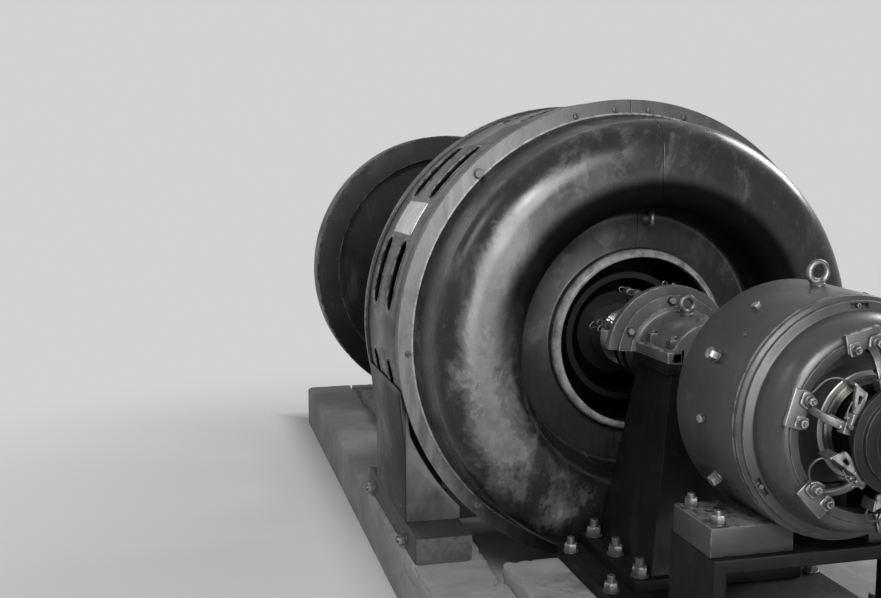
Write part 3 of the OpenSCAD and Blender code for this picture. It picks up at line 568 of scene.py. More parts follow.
def shield_wear_sheen_shade(f, tone, rough, worn, patches):
    """Wear and painted light of the bulged shields: blotches and chips along the crown on one side under a
    painted sheen, a rubbed dish, painted shade on the slope above the dish and a bright lip. Gives the tone,
    the roughness and the gloss."""
    angle, radius = f.angle(), f.radius()
    side = f.spread(f.math("ABSOLUTE", f.math("ADD", angle, 1.62)), 0.40, 1.35, 1.0, 0.0)
    band = f.spread(f.math("ABSOLUTE", f.math("SUBTRACT", radius, 0.735)), 0.02, 0.20, 1.0, 0.0)
    zone = f.math("MULTIPLY", side, band)
    blot = f.noise(5.0, 8.0, 0.68, vector=f.stretched(1.0, 1.0, 0.7), distortion=0.5)
    chips = f.noise(24.0, 7.0, 0.72)
    raw = f.math("ADD", f.math("ADD", blot, f.math("MULTIPLY", zone, 0.26)), f.math("MULTIPLY", chips, 0.22))
    # Painted sheen: a broad light film over the crown on that side, where the light falls on it.
    film = f.math("MULTIPLY", f.spread(raw, 0.66, 0.80), 0.38)
    wear_and_sheen = f.math("MULTIPLY", f.spread(raw, 0.800, 0.822), f.spread(chips, 0.3, 0.7, 0.55, 1.0))
    wear_and_sheen = f.math("MAXIMUM", f.math("MULTIPLY", wear_and_sheen, patches), film)
    tone = f.blend(wear_and_sheen, tone, scaled(worn, 0.85))
    rough = f.math("ADD", rough, f.math("MULTIPLY", wear_and_sheen, 0.16))
    streak = f.noise(1.0, 6.0, 0.7, vector=f.stretched(6.0, 22.0, 3.0))
    dish = f.math("MULTIPLY", f.spread(radius, 0.500, 0.535, 1.0, 0.0), f.spread(f.x, 0.075, 0.085))
    hands = f.math("MULTIPLY", dish, f.spread(streak, 0.3, 0.7, 0.30, 0.60))
    tone = f.blend(hands, tone, scaled(worn, 0.17))
    # Painted shade: the slope above the dish is darkened nearly to black in its upper part, where it lies in
    # shade.
    shaded_trough = f.math("MULTIPLY", f.spread(radius, 0.500, 0.560), f.spread(radius, 0.640, 0.720, 1.0, 0.0))
    shaded_trough = f.math("MULTIPLY", shaded_trough, f.spread(f.z, -0.30, 0.30))
    tone = f.blend(f.math("MULTIPLY", shaded_trough, 0.95), tone, scaled(worn, 0.012))
    rough = f.math("ADD", rough, f.math("MULTIPLY", shaded_trough, 0.42))
    lip = f.math("MULTIPLY", f.spread(radius, 0.386, 0.392, 1.0, 0.0), f.spread(f.x, 0.110, 0.135))
    rubbed = f.spread(f.noise(20.0, 6.0, 0.7), 0.30, 0.62, 0.30, 1.0)
    tone = f.blend(f.math("MULTIPLY", lip, rubbed), tone, scaled(worn, 1.5))
    dull = f.math("MAXIMUM", f.math("MULTIPLY", dish, 0.26), f.math("MULTIPLY", shaded_trough, 0.40))
    return tone, rough, f.math("SUBTRACT", 0.42, dull)


def painted_casting(name, colour, worn, roughness, patches=0.0, dust=0.25, grain=1.0, lighter=None,
                    gloss=None):
    """Old gloss paint on a casting: broad uneven tone, fine orange peel, scuffs, dust and worn edges.
    Between two stations the tone may grow lighter by a factor: painted light on the part ahead."""
    f = Finish(name)
    broad = f.noise(2.2, 4.0, 0.6, distortion=0.4)
    fine = f.noise(42.0, 5.0, 0.65)
    tone = f.blend(f.spread(broad, 0.34, 0.68), scaled(colour, 0.72), scaled(colour, 1.35))
    # Painted light: past the two stations the tone grows lighter by the factor, as the light falls from
    # ahead.
    if lighter:
        low, high, k = lighter
        ahead = f.spread(f.math("ADD", f.x, f.math("MULTIPLY", broad, 0.05)), low, high)
        pale = f.blend(f.spread(broad, 0.34, 0.68), scaled(colour, k * 0.75), scaled(colour, k * 1.25))
        tone = f.blend(ahead, tone, pale)
    smear = f.noise(1.0, 6.0, 0.7, vector=f.stretched(9.0, 9.0, 2.4))
    tone = f.blend(f.spread(smear, 0.52, 0.78, 0.0, dust), tone, worn)
    rubbed = f.spread(f.noise(17.0, 8.0, 0.75), 0.60, 0.66)
    tone = f.blend(f.math("MULTIPLY", rubbed, 0.16), tone, worn)
    edge = f.spread(f.math("MULTIPLY", f.wear, f.spread(f.noise(28.0, 5.0, 0.7), 0.36, 0.60)), 0.15, 0.7)
    tone = f.blend(f.math("MULTIPLY", edge, 0.75), tone, worn)
    rough = f.spread(f.noise(6.0, 5.0, 0.6), 0.3, 0.7, roughness * 0.78, roughness * 1.3)
    if patches:
        tone, rough, gloss = shield_wear_sheen_shade(f, tone, rough, worn, patches)
    rough = f.math("ADD", rough, f.math("MULTIPLY", edge, 0.15))
    peel = f.bump(f.noise(150.0, 3.0, 0.5), 0.05 * grain, 0.002)
    normal = f.bump(f.noise(9.0, 3.0, 0.5), 0.10 * grain, 0.006, peel)
    normal = f.bump(fine, 0.06 * grain, 0.003, normal)
    return f.finish(tone, rough, normal, gloss=gloss)


def rubbed_rim(name, colour, line_radius):
    """Grey paint rubbed by hands: upright smears, dirt in patches, darker away from the left side, and a
    bright line on the inner edge, which is a painted highlight of its fillet.
    """
    f = Finish(name)
    smear = f.noise(1.0, 7.0, 0.7, vector=f.stretched(5.0, 26.0, 4.0))
    cloud = f.noise(6.0, 6.0, 0.65)
    tone = f.blend(f.spread(smear, 0.34, 0.66), scaled(colour, 0.55), scaled(colour, 1.60))
    tone = f.blend(f.spread(cloud, 0.48, 0.66, 0.0, 0.65), tone, scaled(colour, 0.36))
    specks = f.spread(f.noise(38.0, 7.0, 0.75), 0.60, 0.66, 0.0, 0.6)
    tone = f.blend(specks, tone, scaled(colour, 0.25))
    # Darker away from the left side: at the top, the right and the bottom of the rim.
    darker_off_left = f.spread(f.math("ABSOLUTE", f.math("ADD", f.angle(), 1.35)), 0.70, 1.25, 0.0, 0.72)
    tone = f.blend(darker_off_left, tone, scaled(colour, 0.30))
    # Painted highlight: a bright line along the fillet of the inner edge, joined with real wear on the
    # edges.
    off_line = f.math("ABSOLUTE", f.math("SUBTRACT", f.radius(), line_radius + 0.007))
    line = f.spread(off_line, 0.002, 0.006, 1.0, 0.0)
    worn = f.math("MAXIMUM", line, f.math("MULTIPLY", f.wear, 0.6))
    worn = f.math("MULTIPLY", worn, f.spread(f.noise(34.0, 5.0, 0.7), 0.32, 0.60))
    tone = f.blend(f.math("MULTIPLY", worn, 0.85), tone, (0.52, 0.52, 0.515))
    rough = f.spread(smear, 0.3, 0.7, 0.42, 0.62)
    return f.finish(tone, rough, f.bump(f.noise(60.0, 5.0, 0.6), 0.10, 0.001, f.bump(cloud, 0.10, 0.004)))


def turned_metal(name, colour, roughness):
    """Bare metal turned in a lathe: fine rings along the shaft, an oil film and dull stains."""
    f = Finish(name, Metallic=1.0)
    rings = f.noise(1.0, 3.0, 0.6, vector=f.stretched(900.0, 2.0, 2.0))
    stain = f.noise(7.0, 6.0, 0.65, distortion=0.6)
    tone = f.blend(f.spread(stain, 0.42, 0.72, 0.0, 0.35), colour, scaled(colour, 0.35))
    rough = f.math("ADD", f.spread(rings, 0.3, 0.7, roughness * 0.7, roughness * 1.25),
                   f.spread(stain, 0.5, 0.7, 0.0, 0.18))
    return f.finish(tone, rough, f.bump(rings, 0.10, 0.0006))


def cast_metal(name, colour, roughness, metallic, grain=1.0, worn=None):
    """Rough cast or sheared metal with a grainy skin, dirt in its dips and lighter edges."""
    f = Finish(name, Metallic=metallic)
    skin = f.noise(95.0, 6.0, 0.7)
    broad = f.noise(5.0, 5.0, 0.6)
    tone = f.blend(f.spread(broad, 0.35, 0.7), scaled(colour, 0.65), scaled(colour, 1.3))
    tone = f.blend(f.spread(skin, 0.5, 0.75, 0.0, 0.35), tone, scaled(colour, 0.45))
    edge = f.spread(f.math("MULTIPLY", f.wear, f.spread(f.noise(40.0, 4.0, 0.6), 0.3, 0.6)), 0.1, 0.8)
    tone = f.blend(f.math("MULTIPLY", edge, 0.7), tone, worn or scaled(colour, 2.4))
    rough = f.spread(skin, 0.3, 0.7, roughness * 0.8, roughness * 1.2)
    return f.finish(tone, rough, f.bump(skin, 0.22 * grain, 0.0015, f.bump(broad, 0.10 * grain, 0.006)))


def foot_finish(name, colour, side_y):
    """Rubbed grey on the webs of the feet, near black and glossy on the outer walls, where the black is
    painted shade, and dust at the bottom.
    """
    f = Finish(name)
    cloud = f.noise(4.0, 6.0, 0.65, distortion=0.4)
    tone = f.blend(f.spread(cloud, 0.34, 0.68), scaled(colour, 0.60), scaled(colour, 1.35))
    run = f.noise(1.0, 6.0, 0.7, vector=f.stretched(16.0, 16.0, 2.0))
    tone = f.blend(f.spread(run, 0.52, 0.76, 0.0, 0.6), tone, scaled(colour, 0.40))
    # Painted shade: the outer walls are painted near black, as they lie in shade.
    wall = f.spread(f.math("ABSOLUTE", f.y), side_y - 0.006, side_y - 0.002)
    black = f.blend(f.spread(run, 0.45, 0.75), scaled(colour, 0.05), scaled(colour, 0.18))
    tone = f.blend(wall, tone, black)
    chips = f.spread(f.noise(30.0, 7.0, 0.75), 0.64, 0.68, 0.0, 0.5)
    tone = f.blend(chips, tone, scaled(colour, 2.2))
    return f.finish(tone, f.spread(cloud, 0.3, 0.7, 0.34, 0.55),
                    f.bump(f.noise(46.0, 5.0, 0.65), 0.16, 0.0015), gloss=0.25)


def masonry_finish(name, colour):
    """Smoothed cement render: cloudy tone, sand grain, pits, hair cracks, oil stains and darker patches at
    the foot.
    """
    f = Finish(name)
    cloud = f.noise(1.6, 6.0, 0.65, distortion=0.5)
    sand = f.noise(210.0, 4.0, 0.7)
    tone = f.blend(f.spread(cloud, 0.32, 0.70), scaled(colour, 0.66), scaled(colour, 1.18))
    tone = f.blend(f.spread(sand, 0.45, 0.75, 0.0, 0.35), tone, scaled(colour, 0.55))
    oil = f.noise(1.1, 7.0, 0.7, distortion=1.2)
    tone = f.blend(f.spread(oil, 0.56, 0.68, 0.0, 0.62), tone, scaled(colour, 0.28))
    cell = f.node("TexVoronoi", {"Vector": f.place, "Scale": 1.7, "Randomness": 1.0},
                  feature="DISTANCE_TO_EDGE").outputs["Distance"]
    wander = f.math("ADD", cell, f.spread(f.noise(14.0, 5.0, 0.7), 0.0, 1.0, -0.05, 0.05))
    crack = f.math("MULTIPLY", f.spread(f.math("ABSOLUTE", wander), 0.0, 0.006, 1.0, 0.0),
                   f.spread(f.noise(1.3, 3.0), 0.5, 0.62))
    tone = f.blend(f.math("MULTIPLY", crack, 0.7), tone, scaled(colour, 0.2))
    # Darker in patches over the lowest 10 cm.
    low = f.spread(f.z, -SHAFT_Z, -SHAFT_Z + 0.10, 0.5, 0.0)
    low = f.math("MULTIPLY", low, f.spread(f.noise(8.0, 5.0), 0.35, 0.6))
    tone = f.blend(low, tone, scaled(colour, 0.45))
    pits = f.spread(f.noise(55.0, 3.0, 0.5), 0.28, 0.36, 0.0, 1.0)
    height = f.math("SUBTRACT", f.math("ADD", sand, pits), f.math("MULTIPLY", crack, 1.5))
    return f.finish(tone, f.spread(oil, 0.5, 0.7, 0.86, 0.5),
                    f.bump(height, 0.30, 0.0025, f.bump(cloud, 0.3, 0.02)))


def lamination_finish(name, colour):
    """Stacked sheet iron under dark varnish: a fine line across the shaft every 2.6 mm."""
    f = Finish(name, Metallic=0.5)
    sheets = f.math("SINE", f.math("MULTIPLY", f.x, 2400.0))
    tone = f.blend(f.spread(f.noise(12.0, 5.0), 0.35, 0.7), scaled(colour, 0.6), scaled(colour, 1.3))
    tone = f.blend(f.spread(sheets, 0.3, 1.0, 0.0, 0.35), tone, scaled(colour, 0.3))
    return f.finish(tone, f.spread(f.noise(30.0), 0.3, 0.7, 0.45, 0.7), f.bump(sheets, 0.15, 0.0005))


def winding_finish(name, colour):
    """Taped and varnished coils: overlapping turns of tape as fine ridges, with a sticky uneven gloss."""
    f = Finish(name)
    run = f.math("MULTIPLY", f.angle(), f.radius())
    lean = f.math("ADD", f.math("MULTIPLY", run, 330.0), f.math("MULTIPLY", f.noise(9.0), 6.0))
    tape = f.math("FRACT", f.math("DIVIDE", lean, TURN))
    tone = f.blend(f.spread(f.noise(11.0, 6.0, 0.7), 0.35, 0.7), scaled(colour, 0.55), scaled(colour, 1.5))
    tone = f.blend(f.spread(tape, 0.82, 1.0, 0.0, 0.7), tone, scaled(colour, 0.25))
    return f.finish(tone, f.spread(f.noise(22.0, 5.0), 0.35, 0.65, 0.28, 0.62),
                    f.bump(tape, 0.35, 0.001, f.bump(f.noise(35.0, 5.0), 0.3, 0.002)))


def copper_finish(name, colour):
    """Copper run in by brushes: bright and dark tracks round the shaft with a thin brown film."""
    f = Finish(name, Metallic=1.0)
    track = f.noise(1.0, 4.0, 0.7, vector=f.stretched(230.0, 0.5, 0.5))
    film = f.noise(14.0, 5.0, 0.6)
    tone = f.blend(f.spread(track, 0.38, 0.66), scaled(colour, 0.5), scaled(colour, 1.25))
    tone = f.blend(f.spread(film, 0.5, 0.75, 0.0, 0.4), tone, scaled(colour, 0.35))
    return f.finish(tone, f.spread(track, 0.3, 0.7, 0.22, 0.42), f.bump(track, 0.12, 0.0006))


def plain_finish(name, colour, roughness, metallic=0.0, scale=60.0, depth=0.2):
    """A quiet finish for small things: faint mottling and a fine grain."""
    f = Finish(name, Metallic=metallic)
    grain = f.noise(scale, 5.0, 0.65)
    tone = f.blend(f.spread(grain, 0.3, 0.72), scaled(colour, 0.7), scaled(colour, 1.25))
    rough = f.spread(grain, 0.3, 0.7, roughness * 0.85, roughness * 1.15)
    return f.finish(tone, rough, f.bump(grain, depth, 0.001))


def plate_finish(name, colour):
    """A bare rolled plate: fine upright brushing, faint smudges and a dull rim."""
    f = Finish(name, Metallic=0.85)
    brush = f.noise(1.0, 3.0, 0.6, vector=f.stretched(30.0, 30.0, 700.0))
    smudge = f.noise(24.0, 6.0, 0.7)
    tone = f.blend(f.spread(smudge, 0.4, 0.7, 0.0, 0.55), colour, scaled(colour, 0.4))
    tone = f.blend(f.math("MULTIPLY", f.wear, 0.5), tone, scaled(colour, 0.3))
    return f.finish(tone, f.spread(brush, 0.3, 0.7, 0.3, 0.5), f.bump(brush, 0.08, 0.0005))


# Sizes and colours that a user may change

def size(name, description, value):
    """A length that a user may change."""
    return FloatProperty(name=name, description=description, default=value, unit="LENGTH")


def colour(name, description, value):
    """A colour that a user may change."""
    return FloatVectorProperty(name=name, description=description, default=value, size=3, subtype="COLOR",
                               min=0.0, max=1.0)


class ShieldSizes(PropertyGroup):
    """The end shields, from the rim to the mouth."""
    rim_radius: size("Rim radius", "Outer radius of the bolting rim",
                     round(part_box("front_shield_right")[1].y, 4))
    band: size("Rim band", "Width of the flat band of the rim", 0.066)
    wall: size("Wall", "Thickness of the casting", 0.020)
    crown: size("Crown", "How far the crown stands ahead of the rim",
                round(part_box("front_shield_left")[1].x - FACE_X, 4))
    dish: size("Dish", "Height of the flat dish above the rim", 0.093)
    mouth_radius: size("Mouth radius", "Radius of the round mouth", 0.350)
    edge: size("Edge rounding", "Rounding of the casting's edges", 0.003)


class ExciterSizes(PropertyGroup):
    """The exciter at the front end of the shaft."""
    start: size("Start", "Distance of the exciter frame from the stator", 1.232)
    length: size("Length", "Length of the exciter frame", 0.317)
    radius: size("Radius", "Outer radius of the frame at its back", 0.372)
    front_radius: size("Front radius", "Outer radius of the frame at its front", 0.361)
    mouth_radius: size("Mouth radius", "Radius of the cover's mouth", 0.268)
    arms: IntProperty(name="Brush arms", description="Number of brush arms", default=6, min=2)
    bars: IntProperty(name="Commutator bars", description="Number of copper bars", default=96, min=12)
    commutator_radius: size("Commutator radius", "Radius of the bars' running face", 0.126)


class BearingSizes(PropertyGroup):
    """The three pedestal bearings."""
    centre: size("Centre", "Distance of a main bearing from the nearer rim", 0.600)
    half_length: size("Half length", "Half the length of a bearing", 0.150)
    barrel_radius: size("Barrel radius", "Radius of a bearing cap", 0.162)
    ring_radius: size("Ring radius", "Radius of the ring that carries the brushes", 0.264)


class WheelSizes(PropertyGroup):
    """The flywheel."""
    radius: size("Radius", "Outer radius of the flywheel", round(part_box("flywheel")[1].y, 3))
    edge: size("Edge rounding", "Rounding of the rim's edges", 0.012)


class PaintColours(PropertyGroup):
    """Colours of the finishes."""
    machine: colour("Machine paint", "Gloss paint of the stator and its shields", (0.014, 0.014, 0.014))
    band: colour("Rim band", "Rubbed paint of the bolting rims", (0.140, 0.140, 0.138))
    worn: colour("Worn paint", "Filler that shows where the paint is worn", (0.300, 0.300, 0.298))
    exciter: colour("Exciter paint", "Satin paint of the exciter", (0.026, 0.026, 0.026))
    bearing: colour("Bearing paint", "Paint of the bearing caps", (0.085, 0.085, 0.084))
    pedestal: colour("Pedestal paint", "Dark paint of the pedestals", (0.006, 0.006, 0.006))
    wheel: colour("Wheel paint", "Paint of the flywheel and the rotor", (0.012, 0.012, 0.012))
    masonry: colour("Masonry", "Cement render", (0.370, 0.368, 0.361))
    stage: colour("Stage", "Floor and backdrop", (0.800, 0.800, 0.800))


FINISHES = {}


class GENERATOR_OT_finishes(Operator):
    """Makes the finishes from the colours."""
    bl_idname = "generator.finishes"
    bl_label = "Finishes"

    def execute(self, context):
        paint = context.scene.generator_paint
        sizes = context.scene.generator_shields
        machine, band, worn, exciter, bearing, pedestal, wheel, masonry = (
            tuple(c) for c in (paint.machine, paint.band, paint.worn, paint.exciter, paint.bearing,
                               paint.pedestal, paint.wheel, paint.masonry))
        FINISHES.update(
            machine_paint=painted_casting("machine_paint_gloss", machine, worn, 0.30, dust=0.12, gloss=0.20),
            shield_paint=painted_casting("shield_paint_gloss", machine, worn, 0.27, patches=0.85, dust=0.30),
            rim_band=rubbed_rim("rim_band_rubbed", band, sizes.rim_radius - sizes.band),
            # The exciter's paint grows 2.5 times lighter towards its front: painted light.
            exciter_paint=painted_casting("exciter_paint_satin", exciter, scaled(worn, 0.62), 0.32,
                                          dust=0.22, grain=1.3, lighter=(1.38, 1.53, 2.5), gloss=0.27),
            cap_paint=painted_casting("bearing_paint", bearing, (0.34, 0.34, 0.335), 0.44, dust=0.45,
                                      grain=2.2, gloss=0.35),
            plate_iron=painted_casting("pedestal_paint", pedestal, (0.060, 0.060, 0.059), 0.55, dust=0.22,
                                       grain=1.6, gloss=0.12),
            foot_paint=foot_finish("foot_paint_rubbed", band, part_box("sole_plates")[1].y - 0.002),
            sole_paint=cast_metal("sole_block_grey", (0.026, 0.026, 0.0255), 0.62, 0.0, 1.4,
                                  (0.085, 0.085, 0.084)),
            # The beads' paint is four times lighter than the machine's: painted highlights along the slots.
            slot_edge=painted_casting("slot_edge_painted_highlight", scaled(machine, 4.0), worn, 0.17, dust=0.3),
            disc_paint=painted_casting("disc_paint", scaled(exciter, 0.45), scaled(worn, 0.3), 0.42,
                                       dust=0.15, gloss=0.14),
            band_metal=turned_metal("armature_band", (0.27, 0.27, 0.266), 0.46),
            rotor_paint=painted_casting("wheel_paint", wheel, (0.22, 0.22, 0.218), 0.42, dust=0.25,
                                        gloss=0.20),
            # The spider inside the stator is painted darker than the wheel, with dark wear: painted shade.
            spider_paint=painted_casting("spider_paint", scaled(wheel, 0.4), (0.06, 0.06, 0.06), 0.55,
                                         dust=0.1, gloss=0.16),
            masonry=masonry_finish("cement_render", masonry),
            bare_steel=turned_metal("turned_steel", (0.46, 0.46, 0.455), 0.30),
            white_metal=turned_metal("white_metal", (0.55, 0.54, 0.52), 0.36),
            copper=copper_finish("run_in_copper", (0.20, 0.192, 0.182)),
            laminations=lamination_finish("sheet_iron", (0.10, 0.10, 0.10)),
            winding=winding_finish("taped_coils", (0.075, 0.066, 0.055)),
            pole_winding=winding_finish("edgewise_coils", (0.11, 0.085, 0.065)),
            plate_metal=plate_finish("rolled_plate", (0.50, 0.50, 0.495)),
            brush_metal=cast_metal("brush_holder_iron", (0.085, 0.084, 0.081), 0.50, 0.5, 1.2,
                                   (0.30, 0.295, 0.287)),
            bolt_steel=cast_metal("bolt_steel", (0.10, 0.10, 0.098), 0.46, 0.6, 0.8, (0.38, 0.38, 0.375)),
            commutator_bars=copper_finish("commutator_dark", (0.085, 0.079, 0.074)),
            rim_bolt=cast_metal("rubbed_bolt", (0.100, 0.100, 0.099), 0.60, 0.0, 1.2, (0.26, 0.26, 0.257)),
            carbon=plain_finish("carbon_brush", (0.022, 0.022, 0.024), 0.45, scale=240.0),
            fibre=plain_finish("pressed_fibre", (0.060, 0.050, 0.042), 0.55, scale=120.0),
            braid=plain_finish("braided_lead", (0.075, 0.066, 0.058), 0.55, 0.3, 900.0, 0.6),
        )
        return {"FINISHED"}


def each(*names):
    """The finishes by their names."""
    return [FINISHES[name] for name in names]


# The end shields

def shield_loop(sizes):
    """The shield's wall as a closed [x, r] outline with its corner radii. The outer face runs from the rim
    over two elliptic quarter turns into the dish and the lip, and the inner face is the same with every
    radius less the wall."""
    rim, band, t, crown, dish = sizes.rim_radius, sizes.band, sizes.wall, sizes.crown, sizes.dish
    flat_r, round_r, round_x = rim - 0.240, 0.150, 0.122
    inner_r, in_r, in_x = rim - 0.375, 0.072, 0.086
    dish_r, cove, lip_r, mouth = rim - 0.484, 0.022, sizes.mouth_radius + 0.030, sizes.mouth_radius

    def face(wall, fine):
        return np.vstack([arc((crown - round_x, flat_r), (round_x - wall, round_r - wall), 90, 0, fine),
                          arc((crown - in_x, inner_r), (in_x - wall, in_r - wall), 0, -90, fine * 2 // 3),
                          arc((dish + cove, dish_r), (cove + wall, cove + wall), 90, 180, fine // 3)])

    outside, inside = face(0, 30), face(t, 14)
    lip = np.array([[dish, lip_r + 0.006], [dish + 0.036, lip_r], [dish + 0.050, lip_r - 0.006],
                    [dish + 0.057, mouth + 0.012], [dish + 0.057, mouth]])
    loop = np.vstack([[[-0.026, rim], [0, rim], [0, rim - band]], outside, lip, [[dish - t, mouth]],
                      inside[::-1], [[-0.026, rim - band - t]]])
    radii = np.full(len(loop), sizes.edge)
    radii[2] = 0.016
    radii[3 + len(outside)] = 0.008
    radii[4 + len(outside):6 + len(outside)] = 0.012
    return loop, radii


class GENERATOR_OT_shields(Operator):
    """Turns the four halves of the bulged end shields, each with an eased joint edge, bolts them to the
    stator and hangs the lifting eye on the front one."""
    bl_idname = "generator.shields"
    bl_label = "End shields"

    def execute(self, context):
        sizes = context.scene.generator_shields
        loop, radii = shield_loop(sizes)
        band_start = sizes.rim_radius - sizes.band - 0.002
        for end, mirror in (("front", False), ("rear", True)):
            outline = loop * [-1, 1] - [STATOR_LEN, 0] if mirror else loop
            smooth = soften(outline, radii, 2)
            wall = turned(outline, smooth=smooth, count=121, start=0.0, end=math.pi, ends=0.4)

            def rule(middles, mirror=mirror):
                x = -STATOR_LEN - middles[:, 0] if mirror else middles[:, 0]
                r = np.hypot(middles[:, 1], middles[:, 2])
                return (r > band_start) & (x < 0.004)

            for side, sign in (("right", 1), ("left", -1)):
                points = wall.points * [1, sign, 1] + [0, sign * 0.0009, 0]
                half = Shape(points, wall.quads, wall.ends, wall.wear)
                piece(f"shield_{end}_{side}", [half], each("shield_paint", "rim_band"), STAND,
                      [f"{end}_shield_{side}"], 30, rule)
            self.bolts(end, mirror, sizes)
        eye = placing((sizes.dish, 0.04, 0.508), (0, 1, 0), (1, 0, 0))
        piece("shield_lifting_eye", placed_all(eyebolt(0, 0.0105, 0.029, twist=-0.30), eye),
              each("bolt_steel"), STAND, ["shield_eye"])
        return {"FINISHED"}

    def bolts(self, end, mirror, sizes):
        """Hexagon heads and slotted screws on the flat band of the rim."""
        x, way = (-STATOR_LEN, -1) if mirror else (0.0, 1)
        r = sizes.rim_radius - 0.040
        large = [facing(x, r, a, way) for a in (-136.2, -43.8, 43.8, 136.2)]
        angles = (-175.1, -165.2, -92.4, -14.8, -4.3, 4.9, 14.8, 92.4, 165.2, 175.1)
        small = [facing(x, r, a, way) for a in angles]
        shapes = placed_all(hexagon_bolt(0.034, 0.020, 0.004), *large)
        shapes += placed_all(slotted_screw(0.0125, 0.009), *small)
        piece(f"rim_bolts_{end}", shapes, each("rim_bolt"), STAND)


# The stator

class GENERATOR_OT_stator(Operator):
    """Makes the two frame rings in halves, the beads of the slots, the bare plate with its rivets and the
    foot bolts, and eases the edges of the shell and the feet."""
    bl_idname = "generator.stator"
    bl_label = "Stator frame"

    def execute(self, context):
        rim = context.scene.generator_shields.rim_radius
        rings = (("front", -0.056, -0.026, rim),
                 ("rear", -STATOR_LEN + 0.026, -STATOR_LEN + 0.056, rim + 0.010))
        for end, x0, x1, r in rings:
            loop = [[x0, rim - 0.120], [x0, r], [x1, r], [x1, rim - 0.120]]
            half = turned(loop, 0.004, 3, 121, 0.0, math.pi)
            halves = [Shape(half.points * [1, k, 1] + [0, k * 0.0005, 0], half.quads, half.ends, half.wear)
                      for k in (1, -1)]
            piece(f"frame_ring_{end}", halves, each("machine_paint"), STAND,
                  [f"{end}_frame_ring"])
        eased_copy("stator_shell", FINISHES["machine_paint"], STAND, 0.005, 3)
        self.slot_edges()
        self.plate()
        for side in ("left", "right"):
            eased_copy(f"stator_foot_{side}", FINISHES["foot_paint"], STAND, 0.005)
        self.foot_bolts()
        return {"FINISHED"}

    def slot_edges(self):
        """A round bead along the mouth of each slot. Its path has round ends at the two angles of the slot:
        (x, r a) goes from the straight sides over half circles of the slot's half width."""
        r, half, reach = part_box("stator_shell")[1].y - 0.0022, 0.0655, math.radians(5.5)
        turn = np.linspace(-math.pi / 2, math.pi / 2, 15)
        end = np.column_stack([half * np.sin(turn), reach + half * np.cos(turn) / r])
        side = np.linspace(reach, -reach, 11)[1:-1]
        path = np.vstack([end, np.column_stack([np.full(9, half), side]), -end,
                          np.column_stack([np.full(9, -half), -side])])
        beads = []
        for x in (-0.253, -0.555):
            for k in range(12):
                middle = math.radians(15 + 30 * k)
                a = middle + path[:, 1]
                # The beads' wear lightens them further: painted highlights along the slots.
                beads.append(rod(at(x + path[:, 0], r, a), 0.0045, 8, closed=True, wear=0.75,
                                 away=at(0.0, 1.0, a)))
        piece("slot_edges", beads, each("slot_edge"), STAND)

    def plate(self):
        """The plate follows the shell: its section is turned about the shaft over the plate's own angle."""
        low, high = (v - Vector(HOME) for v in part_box("blank_plate"))
        r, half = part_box("stator_shell")[1].y + 0.0003, math.radians(4.6)
        loop = rectangle(low.x + 0.002, r, high.x - 0.002, r + 0.0026)
        base = turned(loop, 0.0004, 2, 24, math.radians(-60) - half, math.radians(-60) + half)
        rivets = [about_shaft(x, r + 0.0026, a) for x in (low.x + 0.014, high.x - 0.014)
                  for a in (-63.9, -56.1)]
        rivet = spun([[0.0042, -0.001], [0.0040, 0.0006], [0.0028, 0.0014], [0.0008, 0.0018]], 16, 1, 0.4)
        piece("bare_plate", [base, rivet.placed(*rivets)], each("plate_metal", "bolt_steel"), STAND,
              ["blank_plate"])

    def foot_bolts(self):
        """Holding-down bolts on the feet, and the jack screws on the outer sides of the sole plates."""
        low, high = (v - Vector(HOME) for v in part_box("stator_foot_right"))
        top = low.z + 0.046
        spots = [upright(x, side * y, top) for side in (1, -1) for y in (low.y + 0.055, high.y - 0.055)
                 for x in (-0.140, -0.640)]
        shapes = placed_all(hexagon_bolt(0.050, 0.030, 0.006, 0.03), *spots)
        side_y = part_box("sole_plates")[1].y
        jacks = [placing((x, side * side_y, low.z - 0.068), (1, 0, 0), (0, side, 0)) for side in (1, -1)
                 for x in (-0.055, -0.80)]
        shapes += placed_all(hexagon_bolt(0.046, 0.026, 0.004, 0.010), *jacks)
        piece("foot_bolts", shapes, each("bolt_steel"), STAND)


# The masonry and the plates on it

